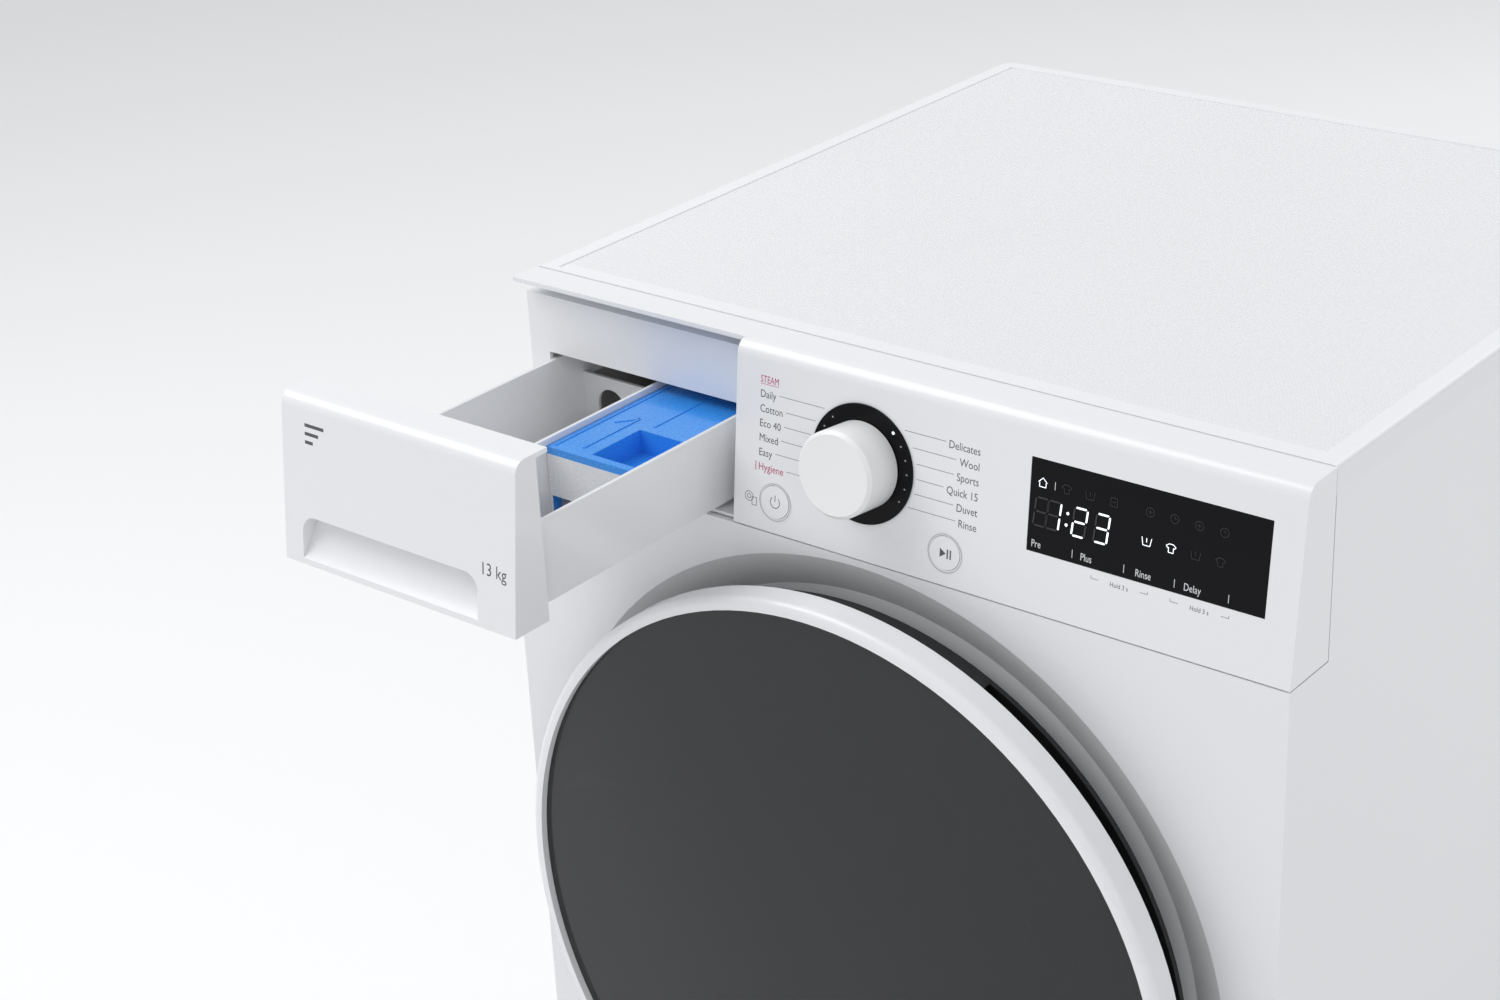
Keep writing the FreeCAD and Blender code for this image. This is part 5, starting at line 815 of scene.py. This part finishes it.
class WASHER_OT_display(bpy.types.Operator):
    """Build the display: digits, signs and option names"""

    bl_idname = "washer.display"
    bl_label = "Display"

    def execute(self, context):
        left = SCREEN_LOW.x
        base = SCREEN_LOW.z
        surface = screen_depth() + 0.35 * MM

        def at(x, z):
            return on_face(left + x * MM, base + z * MM, surface)

        digit_z, sign_z, option_z = 29.0, 47.0, 8.5
        arm, half_width, tall, wide = 8.7, 4.4, 7.6 * MM, 7.4 * MM
        segment_width = 1.15 * MM
        fine = 0.4 * MM
        lit, ghost = [], []
        lit_keys = {"1": "bc", "2": "abged", "3": "abgcd", " ": ""}
        places = {"a": (0, arm, False), "b": (half_width, 4.5, True),
                  "c": (half_width, -4.5, True), "d": (0, -arm, False),
                  "e": (-half_width, -4.5, True), "f": (-half_width, 4.5, True),
                  "g": (0, 0, False)}
        for text, x in ((" ", 11.5), ("1", 20.0), ("2", 38.0), ("3", 53.0)):
            for key, (dx, dz, upright) in places.items():
                spot = at(x + dx + dz * DIGIT_SLANT, digit_z + dz)
                stroke = segment(spot, tall if upright else wide, segment_width, upright)
                (lit if key in lit_keys[text] else ghost).append(stroke)
        colon_x, colon_half, colon_radius = 29.4, 3.6, 0.95 * MM
        for dz in (-colon_half, colon_half):
            lit.append(disc(at(colon_x + dz * DIGIT_SLANT, digit_z + dz), colon_radius))
        for name, x in (("wash", 83.0), ("shirt", 99.0)):
            lit += sign(name, at(x, digit_z))
        lit += sign("house", at(11.5, sign_z))
        dim = [bar(at(20, sign_z - 2.5), at(20, sign_z + 2.5), fine)]
        for name, x in (("shirt", 28.0), ("wash", 44.0), ("card", 60.0), ("fan", 84.0),
                        ("clock", 100.0), ("fan", 116.0), ("clock", 132.0)):
            ghost += sign(name, at(x, sign_z))
        for name, x in (("wash", 115.0), ("shirt", 131.0)):
            ghost += sign(name, at(x, digit_z))
        options = [words(text, at(x, option_z), 6.6 * MM, width=0.74)
                   for text, x in (("Pre", 6.0), ("Plus", 40.0), ("Rinse", 77.0), ("Delay", 109.0))]
        for x in (34.5, 69.5, 103.0, 138.0):
            dim.append(bar(at(x, option_z - 2), at(x, option_z + 3), fine))
        settle(join(lit, "display_lit"), MATERIALS["lit_segment"], "cabinet")
        settle(join(ghost, "display_unlit"), MATERIALS["ghost_segment"], "cabinet")
        settle(join(options + dim, "display_options"), MATERIALS["option_print"], "cabinet")
        marks = option_marks(left, base)
        settle(join(marks, "option_marks"), MATERIALS["print_grey"], "cabinet")
        return {"FINISHED"}


def option_marks(left, base):
    """Brackets and their words on the white face below the display."""
    stroke = 0.3 * MM
    top, foot, text_z = -0.8, -2.6, -3.0
    arm = 5

    def at(x, z):
        return on_face(left + x * MM, base + z * MM)

    marks = []
    for low, high in ((48.0, 86.0), (101.0, 139.0)):
        for x, side in ((low, 1), (high, -1)):
            marks.append(bar(at(x, top), at(x, foot), stroke))
            marks.append(bar(at(x, foot), at(x + side * arm, foot), stroke))
        marks.append(words("Hold 3 s", at((low + high) / 2, text_z), 4.2 * MM, "CENTER"))
    return marks


def screen_depth():
    """How far the display window stands out of the leaning face."""
    window = frame["nodes"]["display_window"].data.vertices
    foot = Vector((0, FACE_Y, SEAM_Z))
    return max((vertex.co - foot).dot(OUT) for vertex in window)


def sign(name, spot):
    """Small generic display signs built of strokes and rings."""
    line = 0.42 * MM
    radius = 2.7 * MM

    def path(points, closed=False):
        places = [spot + RIGHT * a * MM + UP * b * MM for a, b in points]
        ends = places[1:] + (places[:1] if closed else [])
        return [bar(a, b, line) for a, b in zip(places, ends)]

    if name == "wash":
        return path([(-3.2, 2.4), (-2.3, -2.4), (2.3, -2.4), (3.2, 2.4)]) + \
            path([(0, 2.2), (0, -0.4)])
    if name == "shirt":
        return path([(-3.2, 1.2), (-1.3, 2.6), (1.3, 2.6), (3.2, 1.2), (2.2, 0), (1.6, 0.4),
                     (1.6, -2.6), (-1.6, -2.6), (-1.6, 0.4), (-2.2, 0)], closed=True)
    if name == "card":
        return path([(-2.2, -2.6), (2.2, -2.6), (2.2, 2.6), (-2.2, 2.6)], closed=True) + \
            path([(-1, 0), (1, 0)])
    if name == "house":
        return path([(-3, 0.2), (0, 3), (3, 0.2)]) + \
            path([(-2.2, 0.2), (-2.2, -2.6), (2.2, -2.6), (2.2, 0.2)])
    if name == "clock":
        return [ring(spot, radius, line, steps=20)] + path([(0, 1.6), (0, 0), (1.2, 0)])
    return [ring(spot, radius, line, steps=20)] + path([(-1.6, 0), (1.6, 0)]) + \
        path([(0, -1.6), (0, 1.6)])


class WASHER_OT_drawer_prints(bpy.types.Operator):
    """Print a plain mark of three bars and the load on the drawer front"""

    bl_idname = "washer.drawer_prints"
    bl_label = "Drawer prints"

    def execute(self, context):
        shift = Vector((0, DRAWER_LOW.y - FACE_Y, 0))
        rise = DRAWER_LOW.z - SEAM_Z

        def at(x, z):
            spot = on_face(DRAWER_LOW.x + x * MM, DRAWER_LOW.z + z * MM)
            return spot + shift + Vector((0, -rise * math.tan(LEAN), 0))

        left, top, pitch, stroke = 20.5, 92.5, 5.5, 2.2 * MM
        lengths = (17, 12, 7)
        signs = [bar(at(left, top - row * pitch), at(left + length, top - row * pitch), stroke)
                 for row, length in enumerate(lengths)]
        settle(join(signs, "drawer_mark"), MATERIALS["print_grey"], "drawer")
        load_x, load_z, load_height = 181, 38, 11.5 * MM
        load = [words("13 kg", at(load_x, load_z), load_height, "CENTER")]
        settle(join(load, "load_print"), MATERIALS["print_grey"], "drawer")
        return {"FINISHED"}


class WASHER_OT_gasket(bpy.types.Operator):
    """Mould the folded rubber gasket between tub and front panel"""

    bl_idname = "washer.gasket"
    bl_label = "Gasket"

    def execute(self, context):
        low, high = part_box("door_gasket")
        centre = Vector((0, 0, (low.z + high.z) / 2))
        outer = (high.z - low.z) / 2
        inner = 158 * MM
        wall = 3 * MM
        depth = high.y - low.y
        folds, points_per_fold = 4, 8
        mean_share, swing_share = 0.35, 0.3
        flare = 5 * MM
        wave = []
        steps = folds * points_per_fold
        for i in range(steps + 1):
            s = i / steps
            share = mean_share + swing_share * math.cos(s * folds * FULL_TURN)
            radius = inner + (outer - inner - wall) * share + flare * s
            wave.append((radius, low.y + wall + (depth - 2 * wall) * s))
        back = [(radius + wall, y) for radius, y in reversed(wave)]
        piece = lathe(wave + back, centre, Vector((0, 1, 0)), 96, "gasket_bellows")
        settle(piece, MATERIALS["grey_rubber"], None)
        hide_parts("door_gasket")
        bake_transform(piece)
        return {"FINISHED"}


def sleeve(name, node, folds, depth):
    """A corrugated upright hose, as wide as its node is along X; it doesn't follow a bent node."""
    low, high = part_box(node)
    foot = Vector(((low.x + high.x) / 2, (low.y + high.y) / 2, 0))
    outer = (high.x - low.x) / 2
    wall = 2 * MM
    points_per_fold = 6
    count = folds * points_per_fold
    wave = []
    for i in range(count + 1):
        s = i / count
        radius = outer - depth * (0.5 - 0.5 * math.cos(s * folds * FULL_TURN))
        wave.append((radius, low.z + (high.z - low.z) * s))
    profile = wave + [(radius - wall, z) for radius, z in reversed(wave)]
    piece = lathe(profile, foot, Vector((0, 0, 1)), 40, name)
    settle(piece, MATERIALS["black_rubber"], None)
    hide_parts(node)
    return piece, low, high


class WASHER_OT_bellows(bpy.types.Operator):
    """Mould upright bellows for the hoses above and below the tub; the lower one is bent in CAD"""

    bl_idname = "washer.bellows"
    bl_label = "Bellows hoses"

    def execute(self, context):
        folds = sizes().bellows_folds
        depth = 2.2 * MM
        for name, node, tub_on_top in (("fill_bellows", "fill_hose", False),
                                       ("sump_bellows", "sump_hose", True)):
            piece, low, high = sleeve(name, node, folds, depth)
            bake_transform(piece)
        return {"FINISHED"}


def coil(name, centre, low, high, radius, wire, turns):
    """A helical spring of round wire, its two cut ends flat."""
    sides = 8
    steps_per_turn = 20
    steps = turns * steps_per_turn
    vertices, faces = [], []
    for i in range(steps + 1):
        angle = FULL_TURN * turns * i / steps
        ray = Vector((math.cos(angle), math.sin(angle), 0))
        spine = Vector((centre.x, centre.y, low + (high - low) * i / steps)) + ray * radius
        for j in range(sides):
            turn = FULL_TURN * j / sides
            rise = Vector((0, 0, wire * math.sin(turn)))
            vertices.append(spine + ray * wire * math.cos(turn) + rise)
    for i in range(steps):
        for j in range(sides):
            k = (j + 1) % sides
            this, following = sides * i, sides * (i + 1)
            faces.append((this + j, this + k, following + k, following + j))
    faces.append(tuple(range(sides)))
    faces.append(tuple(sides * steps + j for j in range(sides)))
    piece = shell(vertices, faces, name)
    smooth(piece)
    return piece


class WASHER_OT_springs(bpy.types.Operator):
    """Wind the two suspension springs"""

    bl_idname = "washer.springs"
    bl_label = "Suspension springs"

    def execute(self, context):
        low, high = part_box("suspension_springs")
        middle_y = (low.y + high.y) / 2
        coil_radius = (high.y - low.y) / 2
        wire = 1.6 * MM
        parts = []
        for side, x in (("left", low.x + coil_radius), ("right", high.x - coil_radius)):
            parts.append(coil("spring_" + side, Vector((x, middle_y, 0)), low.z + wire,
                              high.z - wire, coil_radius - wire, wire, sizes().spring_turns))
        piece = join(parts, "spring_coils")
        settle(piece, MATERIALS["pin_steel"], None)
        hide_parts("suspension_springs")
        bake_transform(piece)
        return {"FINISHED"}


class WASHER_OT_drum_holes(bpy.types.Operator):
    """Mark the drum's holes as thin dark discs on the inside of its wall, painted shade for the
    dark seen through them
    """

    bl_idname = "washer.drum_holes"
    bl_label = "Drum holes"

    def execute(self, context):
        low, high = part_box("drum_shell")
        wall = 1.6 * MM
        radius = (high.z - low.z) / 2 - wall
        front_margin, back_margin = 40 * MM, 30 * MM
        start, end = low.y + front_margin, high.y - back_margin
        rows = sizes().hole_rows
        per_row = 40
        sides = 8
        hole = 2.0 * MM
        thickness = 0.15 * MM
        along = Vector((0, 1, 0))
        vertices, faces = [], []
        for i in range(rows):
            y = start + (end - start) * i / (rows - 1)
            for j in range(per_row):
                angle = FULL_TURN * (j + 0.5 * (i % 2)) / per_row
                inward = Vector((-math.cos(angle), 0, -math.sin(angle)))
                spot = Vector((DRUM.x, y, DRUM.z)) - inward * radius
                across = inward.cross(along)
                base = len(vertices)
                for level in (0, thickness):
                    for k in range(sides):
                        turn = FULL_TURN * k / sides
                        reach = (along * math.cos(turn) + across * math.sin(turn)) * hole
                        vertices.append(spot + inward * level + reach)
                faces.append(tuple(base + k for k in range(sides)))
                faces.append(tuple(base + sides + k for k in reversed(range(sides))))
                for k in range(sides):
                    after = (k + 1) % sides
                    faces.append((base + k, base + sides + k, base + sides + after, base + after))
        piece = shell(vertices, faces, "drum_holes")
        # painted shade: near-black discs where the shaded tub shows through the holes
        settle(piece, MATERIALS["dark_hole"], "drum")
        return {"FINISHED"}


class WASHER_OT_siphon_marks(bpy.types.Operator):
    """Raise the ribs and the arrow on the siphon insert"""

    bl_idname = "washer.siphon_marks"
    bl_label = "Siphon marks"

    def execute(self, context):
        low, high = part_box("siphon_insert")
        out = Vector((0, 0, 1))
        height = 1.2 * MM
        arrow_width, rib_width = 1.6 * MM, 1.4 * MM

        def at(across, along):
            """Point on the lid, by its share of the lid's width and length."""
            return Vector((low.x + across * (high.x - low.x), low.y + along * (high.y - low.y),
                           high.z))

        marks = [bar(at(0.3, 0.08), at(0.3, 0.5), arrow_width, height, out),
                 bar(at(0.3, 0.5), at(0.16, 0.4), arrow_width, height, out),
                 bar(at(0.52, 0.46), at(0.52, 0.94), rib_width, height, out)]
        for edge in (0.06, 0.94):
            marks.append(bar(at(edge, 0.03), at(edge, 0.97), rib_width, height, out))
        settle(join(marks, "siphon_ribs"), MATERIALS["siphon_blue"], "drawer")
        return {"FINISHED"}


class WASHER_OT_stage(bpy.types.Operator):
    """Set up the pale floor, the soft lights and the camera"""

    bl_idname = "washer.stage"
    bl_label = "Stage"

    def execute(self, context):
        floor_size, floor_drop = 14, 0.5 * MM
        sky_strength = 0.66
        aim = Vector((0, -0.1, 0.6))
        lamps = (("key", (-1.9, -1.2, 3.2), 50, 2.2),
                 ("fill", (2.8, -2.2, 2.0), 12, 2.6),
                 ("back", (0.5, 3.2, 2.6), 32, 2.6))
        camera_place = (0.9232, -1.40717, 1.4818)
        azimuth, elevation, roll = math.radians(40.02), math.radians(25.1), math.radians(-2.86)
        lens, sensor_width = 65.3, 36

        deselect()
        bpy.ops.mesh.primitive_plane_add(size=floor_size)
        floor = bpy.context.object
        floor.name = "floor"
        floor.location.z = -floor_drop
        paper = bpy.data.materials.new("pale_floor")
        paper.use_nodes = True
        bsdf = paper.node_tree.nodes["Principled BSDF"]
        bsdf.inputs["Base Color"].default_value = (0.92, 0.92, 0.92, 1)
        bsdf.inputs["Roughness"].default_value = 0.9
        floor.data.materials.append(paper)

        world = bpy.data.worlds.new("studio")
        context.scene.world = world
        world.use_nodes = True
        sky = world.node_tree.nodes["Background"]
        sky.inputs["Color"].default_value = (0.97, 0.985, 1.0, 1)
        sky.inputs["Strength"].default_value = sky_strength

        for name, spot, power, size in lamps:
            deselect()
            bpy.ops.object.light_add(type="AREA", location=spot)
            lamp = bpy.context.object
            lamp.name = name
            lamp.data.energy = power
            lamp.data.size = size
            lamp.rotation_euler = (aim - Vector(spot)).to_track_quat("-Z", "Y").to_euler()

        deselect()
        bpy.ops.object.camera_add()
        camera = bpy.context.object
        camera.name = "camera"
        camera.data.lens = lens
        camera.data.sensor_width = sensor_width
        turn = (Matrix.Rotation(azimuth, 4, "Z") @ Matrix.Rotation(math.pi / 2 - elevation, 4, "X")
                @ Matrix.Rotation(roll, 4, "Z"))
        camera.matrix_world = Matrix.Translation(camera_place) @ turn
        context.scene.camera = camera
        context.scene.view_settings.view_transform = "Standard"
        return {"FINISHED"}


class WASHER_PT_panel(bpy.types.Panel):
    """Sidebar panel of the washing machine"""

    bl_idname = "WASHER_PT_panel"
    bl_label = "Washing machine"
    bl_space_type = "VIEW_3D"
    bl_region_type = "UI"
    bl_category = "Washer"

    def draw(self, context):
        for settings in (context.scene.washer_colours, context.scene.washer_sizes):
            box = self.layout.box()
            for name in settings.__annotations__:
                box.prop(settings, name)
        for operator in OPERATORS:
            self.layout.operator(operator.bl_idname)


OPERATORS = (
    WASHER_OT_stage,
    WASHER_OT_finishes,
    WASHER_OT_programme_prints,
    WASHER_OT_dial_dots,
    WASHER_OT_key_icons,
    WASHER_OT_display,
    WASHER_OT_drawer_prints,
    WASHER_OT_gasket,
    WASHER_OT_bellows,
    WASHER_OT_springs,
    WASHER_OT_drum_holes,
    WASHER_OT_siphon_marks,
)
CLASSES = (WasherColours, WasherSizes, *OPERATORS, WASHER_PT_panel)


def register():
    for cls in CLASSES:
        bpy.utils.register_class(cls)
    bpy.types.Scene.washer_colours = PointerProperty(type=WasherColours)
    bpy.types.Scene.washer_sizes = PointerProperty(type=WasherSizes)


def unregister():
    del bpy.types.Scene.washer_sizes
    del bpy.types.Scene.washer_colours
    for cls in reversed(CLASSES):
        bpy.utils.unregister_class(cls)


def main():
    register()
    for operator in OPERATORS:
        group, name = operator.bl_idname.split(".")
        getattr(getattr(bpy.ops, group), name)()


if __name__ == "__main__":
    main()
